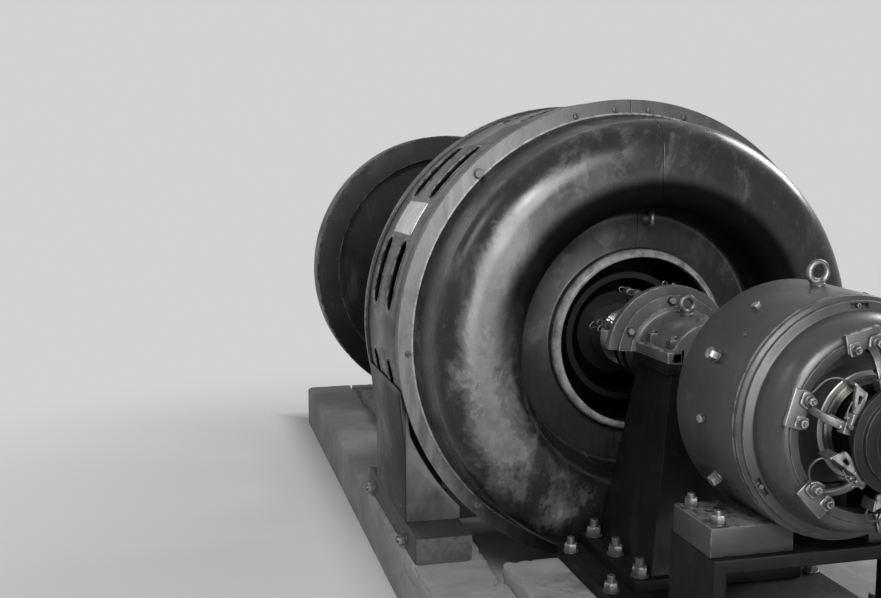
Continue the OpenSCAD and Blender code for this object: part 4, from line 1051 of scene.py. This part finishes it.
class GENERATOR_OT_base(Operator):
    """Roughens the masonry and the sole plates, eases the edges of the bed plates, the pedestals and the
    stool, and bolts them down."""
    bl_idname = "generator.base"
    bl_label = "Base"

    def execute(self, context):
        for seed, node in enumerate(("front_block", "middle_block", "end_wall")):
            low, high = (np.array(v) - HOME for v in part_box(node))
            piece(f"{node}_rough", [rough_block(low, high, 10 * seed + 5)], each("masonry"), STAND,
                  [node])
        self.mirrored("side_walls", "front_block", "masonry", "masonry", 0.0010, 0.020)
        self.mirrored("sole_plates", "stator_foot_right", "sole_paint", "plate_iron", 0.0006, 0.006)
        for node in ("front_bed_plate", "rear_bed_plate"):
            eased_copy(node, FINISHES["plate_iron"], STAND, 0.004)
        for node in ("front_pedestal", "rear_pedestal", "wheel_pedestal"):
            eased_copy(node, FINISHES["plate_iron"], STAND, 0.010, 3)
            low, high = (v - Vector(HOME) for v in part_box(node))
            spots = [upright(x, side * (high.y - 0.040), low.z + 0.044)
                     for x in (low.x + 0.05, (low.x + high.x) / 2, high.x - 0.05) for side in (1, -1)]
            piece(f"{node}_bolts", placed_all(hexagon_bolt(0.05, 0.030, 0.006, 0.03), *spots),
                  each("bolt_steel"), STAND)
        eased_copy("exciter_stool", FINISHES["plate_iron"], STAND, 0.006, 3)
        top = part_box("front_bed_plate")[1].z - SHAFT_Z
        spots = [upright(x, side * y, top) for side in (1, -1)
                 for x, y in ((0.42, 0.40), (0.82, 0.40), (1.18, 0.40), (1.62, 0.40))]
        spots += [upright(x, side * 0.40, top) for side in (1, -1)
                  for x in (-1.19, -1.75, -2.02, -2.25, -2.96)]
        piece("anchor_bolts", placed_all(hexagon_bolt(0.046, 0.028, 0.005, 0.026), *spots),
              each("bolt_steel"), STAND)
        return {"FINISHED"}

    def mirrored(self, node, beside, finish, slot, skin, chip):
        """Two rough blocks, one on each side of the shaft: the node's box less what lies beside it."""
        low, high = (np.array(v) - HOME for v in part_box(node))
        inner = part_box(beside)[1].y if beside == "front_block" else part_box(beside)[0].y - 0.002
        blocks = []
        for seed, (y0, y1) in enumerate(((inner, high[1]), (low[1], -inner))):
            blocks.append(rough_block((low[0], y0, low[2]), (high[0], y1, high[2]), 40 + 7 * seed,
                                      skin=skin, chip=chip))
        piece(f"{node}_rough", blocks, each(finish), STAND, [node])


# The bearings

def bearing_cap(sizes):
    """One bearing cap about its own middle, local x away from the machine: a barrel with stepped half rings,
    a joint flange with square bolts, a lifting eye, an oil lid and the bolts of its end flange."""
    h, r = sizes.half_length, sizes.barrel_radius
    joint, bore = 0.018, 0.1055

    def half(outline, reach=84.0, radius=0.004):
        return turned(outline, radius, 3, 72, -math.radians(reach), math.radians(reach))

    shapes = [
        half([[-h + 0.02, bore], [-h + 0.02, r], [h, r], [h, bore]], 83.5, 0.008),
        half([[-h - 0.001, bore], [-h - 0.001, 0.186], [-h + 0.016, 0.187], [-h + 0.026, 0.172],
              [-h + 0.030, bore]], 84.5),
        half([[-h - 0.020, bore], [-h - 0.020, 0.226], [-h - 0.016, 0.228], [-h, 0.228], [-h, bore]],
             85.4, 0.003),
        block((-h, -0.170, joint), (h, -0.112, joint + 0.042), 0.006),
        block((-h, 0.112, joint), (h, 0.170, joint + 0.042), 0.006),
        block((h - 0.022, -0.118, joint), (h, -0.1055, joint + 0.05), 0.002),
        block((h - 0.022, 0.1055, joint), (h, 0.118, joint + 0.05), 0.002),
    ]
    lid = spun([[0.030, -0.012], [0.030, 0.006], [0.027, 0.009], [0.010, 0.011], [0.009, 0.018],
                [0.005, 0.020]], 36, wear=0.3)
    shapes.append(lid.placed(about_shaft(0.085, r, 2.0)))
    hinge = block((-0.012, -0.006, -0.004), (0.012, 0.006, 0.012), 0.002)
    shapes.append(hinge.placed(about_shaft(0.085, r + 0.002, 15.0)))
    steel = placed_all(eyebolt(1, 0.0120), upright(-0.045, 0, r))
    bosses = spun([[0.033, -0.002], [0.033, 0.007], [0.031, 0.009]], 32, wear=0.2)
    corners = [(x, side * 0.136) for x in (-0.045, 0.120) for side in (1, -1)]
    shapes.append(bosses.placed(*[upright(x, y, joint + 0.042) for x, y in corners]))
    heads = [upright(x, y, joint + 0.050) for x, y in corners]
    steel += placed_all(square_bolt(0.040, 0.034, 0.010, 1), *heads)
    ends = [facing(-h, 0.209, a) for a in (-63, -5, 63)]
    shapes += placed_all([spun([[0.0165, -0.002], [0.0165, 0.005], [0.0145, 0.007]], 28, wear=0.3)], *ends)
    steel += placed_all(hexagon_bolt(0.024, 0.018, 0.007, 0.0, 1), *ends)
    return shapes + steel


def brush_spindles(sizes):
    """The brush ring on the front bearing: a half ring, four insulated spindles and two holders on each,
    with looped springs over the brushes."""
    x1 = sizes.centre - sizes.half_length - 0.020
    x0 = x1 - 0.035
    r = sizes.ring_radius
    shapes = [turned([[x0, r - 0.060], [x0, r - 0.002], [x0 + 0.003, r], [x1 - 0.003, r], [x1, r - 0.002],
                      [x1, r - 0.060]], 0.003, 3, 84, -math.radians(85.6), math.radians(85.6))]
    parts = []
    for step in (0.208, 0.292):
        parts += [
            spun([[0.016, -0.018], [0.018, -0.014], [0.018, 0.014], [0.016, 0.018]], 24, wear=0.4).placed(
                placing((step, 0, 0.234), (0, 0, -1), (1, 0, 0))),
            block((step - 0.013, -0.012, 0.158), (step + 0.013, 0.012, 0.222), 0.002),
            block((step - 0.009, -0.008, 0.1412), (step + 0.009, 0.008, 0.170), 0.001, 2),
            rod(curve([(step, -0.020, 0.236), (step, -0.032, 0.250), (step, -0.030, 0.262),
                       (step, -0.012, 0.258), (step, 0.000, 0.240), (step, 0.004, 0.222)], 5), 0.0022, 8,
                wear=0.6),
            rod(curve([(step - 0.011, 0.016, 0.160), (step - 0.012, 0.030, 0.185),
                       (step - 0.011, 0.026, 0.215), (step - 0.006, 0.016, 0.228)], 5), 0.0022, 8,
                material=3),
        ]
    parts += [
        spun([[0.009, 0.168], [0.009, x0 + 0.006]], 20, wear=0.3).placed(placing((0, 0, 0.234), (0, 0, -1),
                                                                               (1, 0, 0))),
        spun([[0.015, x0 - 0.016], [0.016, x0 - 0.013], [0.016, x0 + 0.002]], 24, 2).placed(
            placing((0, 0, 0.234), (0, 0, -1), (1, 0, 0))),
    ]
    arms = [about_shaft(0, 0, a) for a in (-66, -22, 22, 66)]
    shapes[0] = shapes[0].painted(1)
    heads = [facing(x0, r - 0.014, a, -1) for a in (-80, -44, 0, 44, 80)]
    shapes += placed_all(hexagon_bolt(0.018, 0.010, 0.002, 0.0, 0), *heads)
    return shapes + placed_all(parts, *arms)


class GENERATOR_OT_bearings(Operator):
    """Makes the three bearing caps and the brush ring on the front bearing."""
    bl_idname = "generator.bearings"
    bl_label = "Bearings"

    def execute(self, context):
        sizes = context.scene.generator_bearings
        cap = bearing_cap(sizes)
        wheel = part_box("wheel_bearing_cap")[0].x - FACE_X + sizes.half_length + 0.020
        places = (("front", placing((sizes.centre, 0, 0), (1, 0, 0), (0, 0, 1))),
                  ("rear", placing((-STATOR_LEN - sizes.centre, 0, 0), (-1, 0, 0), (0, 0, 1))),
                  ("wheel", placing((wheel, 0, 0), (1, 0, 0), (0, 0, 1))))
        for name, place in places:
            piece(f"{name}_bearing_top", placed_all(cap, place), each("cap_paint", "bolt_steel"), STAND,
                  [f"{name}_bearing_cap"])
        piece("slip_ring_brushes", brush_spindles(sizes),
              each("brush_metal", "cap_paint", "carbon", "braid"), STAND, ["brush_ring"])
        return {"FINISHED"}


# The exciter

class GENERATOR_OT_exciter(Operator):
    """Turns the exciter's frame and covers, with the pole bolts, the lifting eye and the rocker's slots."""
    bl_idname = "generator.exciter"
    bl_label = "Exciter frame"

    def execute(self, context):
        e = context.scene.generator_exciter
        x0, x1, bore = e.start, e.start + e.length, e.front_radius - 0.052
        yoke = turned([[x0, bore], [x0, e.radius], [x1 - 0.002, e.front_radius], [x1 - 0.002, bore]], 0.006)
        pads = [block((x0 + 0.04, y0, -0.400), (x1 - 0.04, y1, -0.310), 0.005)
                for y0, y1 in ((-0.395, -0.127), (0.127, 0.395))]
        slope = (e.front_radius - e.radius) / e.length
        bolt_x = x0 + 0.148
        bolt_r = e.radius + slope * 0.148 - 0.001
        large = [about_shaft(bolt_x, bolt_r, a) for a in np.arange(-63, 290, 60.0) if abs(a + 3) > 1]
        small = [about_shaft(bolt_x, bolt_r, a) for a in np.arange(-33, 320, 60.0)]
        shapes = [yoke, *pads]
        shapes += placed_all(hexagon_bolt(0.034, 0.024, 0.004, 0.0, 1), *large)
        shapes += placed_all(hexagon_bolt(0.026, 0.010, 0.002, 0.0, 1), *small)
        shapes += placed_all(eyebolt(1, 0.0104, 0.0295, 0.0400), upright(bolt_x, 0, bolt_r))
        screws = [about_shaft(x0 + 0.218, e.front_radius + 0.0034, a) for a in (-49, 131)]
        shapes += placed_all(slotted_screw(0.006, 0.004, 1), *screws)
        pad_bolts = [upright(x, side * 0.355, -0.310) for x in (x0 + 0.075, x1 - 0.075) for side in (1, -1)]
        shapes += placed_all(hexagon_bolt(0.036, 0.022, 0.005, 0.014, 1), *pad_bolts)
        piece("exciter_yoke", shapes, each("exciter_paint", "bolt_steel"), STAND,
              ["exciter_frame"])
        rear = turned([[x0 - 0.040, 0.110], [x0 - 0.040, 0.140], [x0 - 0.018, bore],
                       [x0 - 0.018, e.radius - 0.006], [x0 - 0.0005, e.radius - 0.006],
                       [x0 - 0.0005, bore - 0.020], [x0 - 0.020, 0.110]], 0.004, 3)
        piece("exciter_back", [rear], each("exciter_paint"), STAND, ["exciter_rear_cover"])
        self.cover(e, x1)
        return {"FINISHED"}

    def cover(self, e, x1):
        """The front cover is turned like the rest, but where its flat ring crosses a slot the face sinks by
        the slot's depth, within the slot's two radii and two angles."""
        rim, side, step = e.front_radius - 0.016, e.front_radius - 0.044, x1 + 0.042
        nose, reach, wall = side - e.mouth_radius, 0.092, 0.014
        edges = np.array([0.3388, 0.3383, 0.3240, 0.3235])
        flat_x = x1 + 0.026 + (rim - edges) / (rim - side) * 0.006
        outer = arc((step, e.mouth_radius), (reach, nose), 90, 0, 22)
        inner = arc((step, e.mouth_radius), (reach - wall, nose - wall), 0, 90, 12)
        corners = np.vstack([[[x1, side - wall], [x1, e.front_radius - 0.002],
                              [x1 + 0.012, e.front_radius - 0.002], [x1 + 0.018, rim], [x1 + 0.026, rim]],
                             np.column_stack([flat_x, edges]), [[x1 + 0.032, side]], outer, inner])
        radii = np.full(len(corners), 0.003)
        radii[5:9] = 0.0
        loop, wear = soften(corners, np.maximum(radii, 1e-5), 3)
        x, r = loop.T
        sunk = ((r < edges[0] - 0.0002) & (r > edges[3] + 0.0002) & (x > x1 + 0.02) & (x < x1 + 0.034))
        middles = np.radians([-122.0, 1.0, 118.0])
        half = math.radians(5.2)
        marks = np.concatenate([[m - half, m - half + 0.0015, m + half - 0.0015, m + half] for m in middles])
        a = np.unique(np.concatenate([np.linspace(-math.pi, math.pi, 192, endpoint=False), marks]))
        inside = (np.abs(a[:, None] - middles[None]).min(1) < half - 0.001)
        x = loop[:, None, 0] - 0.016 * (sunk[:, None] & inside[None])
        points = at(x, loop[:, None, 1], a[None])
        shape = Shape(points, grid(points, True, True), (), np.repeat(wear, len(a)))
        bolts = [facing(x1 + 0.012, 0.331, math.degrees(m)) for m in middles]
        shapes = [shape] + placed_all(hexagon_bolt(0.013, 0.014, 0.002, 0.004, 1), *bolts)
        piece("exciter_front", shapes, each("exciter_paint", "bolt_steel"), STAND,
              ["exciter_front_cover"])


def brush_arm(e):
    """One brush arm at the top, in stations and radii: a bracket over the mouth with two bolted lugs, a flat
    arm bent inwards to a clamp block with its brush, a cross rod, and a holder plate with a hole and a
    second brush."""
    x0 = e.start + e.length + 0.134
    x1 = x0 + 0.022
    across = placing((0, 0, 0), (0, 1, 0), (1, 0, 0))
    shapes = [
        block((x0, -0.054, 0.232), (x0 + 0.015, 0.054, 0.290), 0.004),
        column([[0.010, 0.216], [0.034, 0.222], [0.052, 0.240], [0.050, 0.268], [0.014, 0.270],
                [0.004, 0.244]], (x0 + 0.008, x1 + 0.002), radius=0.008).placed(across),
        column(rectangle(-0.051, 0.224, -0.016, 0.264), (x0 + 0.008, x1 - 0.003), radius=0.009,
               bevel=0.003).placed(across),
        spun([[0.017, -0.001], [0.017, 0.006], [0.013, 0.009]], 28, 2).placed(
            placing((x1 + 0.002, 0.030, 0.246), (0, 0, -1), (1, 0, 0))),
        strap(curve([(x1 - 0.010, 0.014, 0.238), (x1 + 0.014, 0.008, 0.234), (x1 + 0.036, 0.000, 0.214),
                     (x1 + 0.050, -0.006, 0.186), (x1 + 0.056, -0.010, 0.158)], 6), 0.022, 0.010,
              (0, 1, 0.25)),
        block((x1 + 0.040, -0.028, 0.134), (x1 + 0.072, 0.005, 0.168), 0.003),
        block((x1 + 0.045, -0.022, 0.1272), (x1 + 0.067, -0.002, 0.138), 0.001, 3),
        rod([(x1 + 0.008, 0.006, 0.176), (x1 + 0.050, 0.000, 0.166), (x1 + 0.086, -0.006, 0.156)], 0.006, 14,
            wear=0.6),
        holed([[0.108, 0.176], [0.092, 0.133], [0.034, 0.136], [0.028, 0.160]], np.array([0.070, 0.153]),
              np.array([0.014, 0.007]), x1 + 0.066, x1 + 0.078, 0.007, 0.002).placed(across),
        column([[0.112, 0.178], [0.100, 0.150], [0.092, 0.152], [0.104, 0.180]], (x1 + 0.020, x1 + 0.074),
               radius=0.003, bevel=0.002).placed(across),
        block((x1 + 0.044, -0.001, 0.130), (x1 + 0.080, 0.030, 0.160), 0.003),
        block((x1 + 0.050, 0.004, 0.1272), (x1 + 0.074, 0.024, 0.136), 0.001, 3),
        rod(curve([(x1 + 0.072, -0.012, 0.160), (x1 + 0.088, 0.004, 0.176), (x1 + 0.084, 0.030, 0.184),
                   (x1 + 0.076, 0.060, 0.174)], 6), 0.0022, 8, material=4),
        rod(curve([(x1 + 0.040, 0.090, 0.168), (x1 + 0.036, 0.110, 0.196), (x1 + 0.020, 0.096, 0.226),
                   (x1 + 0.004, 0.052, 0.246)], 6), 0.0030, 8, material=4),
    ]
    shapes += placed_all(hexagon_bolt(0.021, 0.012, 0.000, 0.008, 1),
                         placing((x1 + 0.011, 0.030, 0.246), (0, 0, 1), (1, 0, 0)))
    shapes += placed_all(hexagon_bolt(0.021, 0.012, 0.003, 0.008, 1),
                         placing((x1 - 0.003, -0.034, 0.244), (0, 0, 1), (1, 0, 0)))
    shapes += placed_all(hexagon_bolt(0.012, 0.007, 0.0, 0.005, 1),
                         placing((x1 + 0.056, -0.011, 0.168), (1, 0, 0), (0, 0, 1)),
                         placing((x1 + 0.062, 0.015, 0.160), (1, 0, 0), (0, 0, 1)))
    return shapes


class GENERATOR_OT_brush_gear(Operator):
    """Sets the brush arms round the commutator and turns the rocker ring that carries them."""
    bl_idname = "generator.brush_gear"
    bl_label = "Brush gear"

    def execute(self, context):
        e = context.scene.generator_exciter
        mouth = e.start + e.length + 0.134
        ring = turned([[mouth - 0.060, 0.240], [mouth - 0.060, e.mouth_radius - 0.001],
                       [mouth + 0.001, e.mouth_radius - 0.001], [mouth + 0.001, 0.240]], 0.003, 3)
        piece("rocker", [ring], each("exciter_paint"), STAND, ["rocker_ring"])
        places = [about_shaft(0, 0, -13.5 + 360.0 * k / e.arms) for k in range(e.arms)]
        piece("brush_arms", placed_all(brush_arm(e), *places),
              each("brush_metal", "bolt_steel", "fibre", "carbon", "braid"), STAND,
              ["brush_gear"])
        return {"FINISHED"}


# Turning pieces

class GENERATOR_OT_turning(Operator):
    """Makes the commutator's bars, the armature, the end disc, the flywheel and the coupling bolts."""
    bl_idname = "generator.turning"
    bl_label = "Turning pieces"

    def execute(self, context):
        e = context.scene.generator_exciter
        wheel = context.scene.generator_wheel
        self.commutator(e)
        self.armature(e)
        low, high = (v - Vector(HOME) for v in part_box("end_disc"))
        r = high.z
        disc = turned([[low.x, 0.0605], [low.x, r - 0.004], [low.x + 0.004, r], [high.x - 0.008, r],
                       [high.x - 0.008, r - 0.026], [high.x, r - 0.030], [high.x, r - 0.066],
                       [high.x - 0.006, r - 0.070], [high.x - 0.006, 0.0605]], 0.002, 3)
        piece("shaft_end_disc", [disc], each("disc_paint"), ROTOR, ["end_disc"])
        self.wheel(wheel)
        self.coupling()
        return {"FINISHED"}

    def commutator(self, e):
        """Bars of copper: the running face sinks by a millimetre in the mica slot between two bars."""
        low, high = (v - Vector(HOME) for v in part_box("commutator"))
        face = e.commutator_radius
        loop, wear = soften([[low.x, 0.0605], [low.x, high.z], [low.x + 0.010, high.z],
                             [low.x + 0.014, face], [high.x, face], [high.x, 0.0605]], 0.0015, 2)
        share = np.array([0.0, 0.06, 0.10, 0.90, 0.94])
        a = ((np.arange(e.bars)[:, None] + share[None]) * TURN / e.bars).ravel()
        sunk = np.tile([1.0, 1.0, 0.0, 0.0, 1.0], e.bars) * 0.0012
        r = loop[:, None, 1] - np.where(loop[:, None, 1] > 0.1, sunk[None], 0.0)
        points = at(loop[:, None, 0], r, a[None])
        shape = Shape(points, grid(points, True, True), (), np.repeat(wear, len(a)))
        piece("commutator_bars", [shape], each("commutator_bars"), ROTOR, ["commutator"], 28)

    def armature(self, e):
        """The coil ends swell and dip with every coil, by a sine of the angle, and the core's slots are
        shallow dips. The band in front covers the coils' connections, and fine steps run round it."""
        x0, x1 = e.start, e.start + e.length
        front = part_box("armature")[1].x - FACE_X
        steps = np.linspace(x1 - 0.050, front - 0.003, 25)
        band = np.column_stack([steps, np.interp(steps, [x1 - 0.050, x1 - 0.036, x1 + 0.004, x1 + 0.016],
                                                 [0.2030, 0.1960, 0.1670, 0.1600])])
        band[:, 1] -= 0.0006 * (np.arange(25) % 2)
        loop = np.vstack([[[x0 + 0.012, 0.0605], [x0 + 0.012, 0.176], [x0 + 0.018, 0.188],
                           [x0 + 0.026, 0.195], [x0 + 0.058, 0.203], [x0 + 0.062, 0.205],
                           [x1 - 0.062, 0.205], [x1 - 0.054, 0.2040]], band,
                          [[front, 0.157], [front, 0.0605]]])
        a = np.linspace(0, TURN, 48 * 8, endpoint=False)
        coils = 0.0022 * np.sin(48 * a)
        held = (loop[:, 0] < x0 + 0.060) & (loop[:, 1] > 0.15)
        slots = ((loop[:, 0] > x0 + 0.061) & (loop[:, 0] < x1 - 0.061) & (loop[:, 1] > 0.15))
        dip = -0.003 * (np.cos(48 * a) > 0.6)
        r = loop[:, None, 1] + held[:, None] * (coils[None] - 0.0024) + slots[:, None] * dip[None]
        points = at(loop[:, None, 0], r, a[None])
        core = Shape(points, grid(points, True, True), ())

        def rule(middles):
            x = middles[:, 0]
            return np.where(x > x1 - 0.052, 1, np.where((x > x0 + 0.06) & (x < x1 - 0.06), 2, 0))

        piece("armature_coils", [core], each("winding", "band_metal", "laminations"), ROTOR,
              ["armature"], 40, rule)

    def wheel(self, wheel):
        """Half of the wheel's section, mirrored about its middle and turned about the shaft."""
        low, high = (v - Vector(HOME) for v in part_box("flywheel"))
        m, r = (low.x + high.x) / 2, wheel.radius
        half = np.array([[0.130, 0.110], [0.130, 0.218], [0.118, 0.230], [0.055, 0.234], [0.040, 0.250],
                         [0.035, 0.275], [0.035, 0.752], [0.042, 0.775], [0.060, 0.786], [0.108, 0.7885],
                         [0.110, 0.792], [0.110, r]])
        loop = np.vstack([half * [-1, 1], half[::-1]]) + [m, 0]
        radii = np.array([0.002, 0.006, 0.010, 0.012, 0.014, 0.014, 0.014, 0.012, 0.010, 0.003, 0.003,
                          wheel.edge])
        shape = turned(loop, np.concatenate([radii, radii[::-1]]), 5, 240)
        piece("flywheel_turned", [shape], each("rotor_paint"), ROTOR, ["flywheel"])

    def coupling(self):
        """The coupling's bolts: nuts with thread ends on the front flange, heads on the back one."""
        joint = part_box("generator_shaft")[0].x - FACE_X
        front = [facing(joint + 0.060, 0.180, a) for a in np.arange(22.5, 360, 45.0)]
        back = [facing(joint - 0.060, 0.180, a, -1) for a in np.arange(22.5, 360, 45.0)]
        shapes = placed_all(hexagon_bolt(0.046, 0.028, 0.004, 0.012), *front)
        shapes += placed_all(hexagon_bolt(0.046, 0.030, 0.004), *back)
        piece("coupling_bolts", shapes, each("bolt_steel"), ROTOR)


class GENERATOR_OT_plain_nodes(Operator):
    """Gives their finish to the CAD nodes that keep their own shape."""
    bl_idname = "generator.plain_nodes"
    bl_label = "Plain nodes"

    def execute(self, context):
        finishes = {"stator_core": "laminations", "coil_ends": "winding",
                    "bearing_liners": "white_metal", "exciter_poles": "pole_winding",
                    "generator_shaft": "bare_steel", "flywheel_shaft": "bare_steel",
                    "rotor_spider": "spider_paint", "rotor_poles": "laminations",
                    "pole_coils": "pole_winding", "slip_rings": "copper"}
        for node, name in finishes.items():
            for slot in frame["nodes"][node].material_slots:
                slot.material = FINISHES[name]
        return {"FINISHED"}


# The stage

def lamp(name, place, target, size, power):
    """A flat rectangular lamp at a place, turned towards its target."""
    light = bpy.data.lights.new(name, "AREA")
    light.shape = "RECTANGLE"
    light.size, light.size_y = size
    light.energy = power
    made = bpy.data.objects.new(name, light)
    made.location = place
    made.rotation_euler = (Vector(target) - Vector(place)).to_track_quat("-Z", "Y").to_euler()
    bpy.context.scene.collection.objects.link(made)
    return made


def shows_backdrop(tree):
    """1 for rays from the camera and those that gloss or glass passes on, 0 for the light on the object."""
    rays = tree.nodes.new("ShaderNodeLightPath")
    total = rays.outputs["Is Camera Ray"]
    for kind in ("Is Glossy Ray", "Is Transmission Ray"):
        joined = tree.nodes.new("ShaderNodeMath")
        joined.operation = "MAXIMUM"
        tree.links.new(total, joined.inputs[0])
        tree.links.new(rays.outputs[kind], joined.inputs[1])
        total = joined.outputs[0]
    return total


class GENERATOR_OT_stage(Operator):
    """Sets the pale floor, the lamps, the world and the camera."""
    bl_idname = "generator.stage"
    bl_label = "Stage"

    def execute(self, context):
        scene = context.scene
        shade = tuple(scene.generator_paint.stage)
        mesh = bpy.data.meshes.new("floor")
        size = 40.0
        mesh.from_pydata([(-size, -size, 0), (size, -size, 0), (size, size, 0), (-size, size, 0)], [],
                         [(0, 1, 2, 3)])
        floor = bpy.data.objects.new("floor", mesh)
        scene.collection.objects.link(floor)
        f = Finish("pale_floor")
        tone = f.blend(f.noise(0.8, 3.0), scaled(shade, 0.97), shade)
        floor_material = f.finish(tone, 0.85)
        mesh.materials.append(floor_material)
        glow = f.node("Emission", {"Color": (0.90, 0.90, 0.90), "Strength": 0.72})
        along = f.math("ABSOLUTE", f.math("ADD", f.x, 0.9))
        across = f.math("ABSOLUTE", f.y)
        squares = f.math("ADD", f.math("MULTIPLY", along, along), f.math("MULTIPLY", across, across))
        away = f.math("SQRT", squares)
        outside = f.math("MAXIMUM", f.spread(across, 0.92, 1.25), f.spread(along, 2.58, 2.95))
        share = f.math("MULTIPLY", outside, f.spread(away, 1.4, 5.0, 0.45, 1.0))
        share = f.math("MULTIPLY", shows_backdrop(f.tree), share)
        mixed = f.node("MixShader", {0: share, 1: f.shader.outputs[0], 2: glow.outputs[0]})
        output = next(n for n in f.tree.nodes if n.type == "OUTPUT_MATERIAL")
        f.tree.links.new(mixed.outputs[0], output.inputs["Surface"])
        world = bpy.data.worlds.new("soft_room")
        scene.world = world
        world.use_nodes = True
        nodes, links = world.node_tree.nodes, world.node_tree.links
        ground = next(n for n in nodes if n.type == "BACKGROUND")
        ground.inputs[0].default_value = (0.9, 0.9, 0.9, 1.0)
        pick = nodes.new("ShaderNodeMapRange")
        links.new(shows_backdrop(world.node_tree), pick.inputs["Value"])
        pick.inputs["To Min"].default_value = 0.07
        pick.inputs["To Max"].default_value = 0.72
        links.new(pick.outputs[0], ground.inputs[1])
        lamp("window_front", (FACE_X + 5.0, -1.5, SHAFT_Z + 2.9), (FACE_X + 0.2, -0.3, SHAFT_Z), (1.8, 1.6),
             170)
        lamp("window_left", (FACE_X + 0.6, -4.4, 4.6), (FACE_X - 0.3, -0.2, 1.6), (1.6, 2.0), 42)
        lamp("window_rear", (FACE_X - 1.3, 4.6, 4.4), (FACE_X - 0.2, 0.2, 1.6), (2.0, 2.4), 225)
        lamp("window_back", (FACE_X - 6.0, -3.2, 3.6), (FACE_X - 1.6, 0.0, 1.1), (3.0, 2.6), 16)
        card = lamp("tall_window", (FACE_X + 5.4, -0.4, SHAFT_Z + 1.1),
                    (FACE_X + 0.3, -0.4, SHAFT_Z + 0.2), (2.6, 3.8), 450)
        card.visible_diffuse = False
        lens = bpy.data.cameras.new("camera")
        lens.sensor_width = 36.0
        lens.lens = 1047.7 / 881 * 36.0
        camera = bpy.data.objects.new("camera", lens)
        camera.location = (FACE_X + 4.135, -1.839, SHAFT_Z + 0.715)
        look = Vector((-0.9635, 0.2370, -0.1241))
        camera.rotation_euler = look.to_track_quat("-Z", "Y").to_euler()
        scene.collection.objects.link(camera)
        scene.camera = camera
        scene.view_settings.view_transform = "Standard"
        return {"FINISHED"}


class VIEW3D_PT_generator(Panel):
    """Lists the steps in the sidebar."""
    bl_label = "Generator"
    bl_space_type = "VIEW_3D"
    bl_region_type = "UI"
    bl_category = "Generator"

    def draw(self, context):
        for group in GROUPS:
            settings = getattr(context.scene, group)
            box = self.layout.box()
            for key in settings.__annotations__:
                box.prop(settings, key)
        for step in STEPS:
            self.layout.operator(step.bl_idname)


GROUPS = {"generator_shields": ShieldSizes, "generator_bearings": BearingSizes,
          "generator_exciter": ExciterSizes, "generator_wheel": WheelSizes, "generator_paint": PaintColours}
STEPS = (GENERATOR_OT_stage, GENERATOR_OT_finishes, GENERATOR_OT_plain_nodes, GENERATOR_OT_shields,
         GENERATOR_OT_stator, GENERATOR_OT_base, GENERATOR_OT_bearings, GENERATOR_OT_exciter,
         GENERATOR_OT_brush_gear, GENERATOR_OT_turning)


def register():
    """Adds the classes to Blender and the settings to its scenes."""
    for kind in (*GROUPS.values(), *STEPS, VIEW3D_PT_generator):
        bpy.utils.register_class(kind)
    for name, kind in GROUPS.items():
        setattr(bpy.types.Scene, name, PointerProperty(type=kind))


def unregister():
    """Takes the settings and the classes out again."""
    for name in GROUPS:
        delattr(bpy.types.Scene, name)
    for kind in (VIEW3D_PT_generator, *reversed(STEPS), *GROUPS.values()):
        bpy.utils.unregister_class(kind)


def main():
    """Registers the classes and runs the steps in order."""
    register()
    for step in STEPS:
        group, name = step.bl_idname.split(".")
        getattr(getattr(bpy.ops, group), name)()


if __name__ == "__main__":
    main()
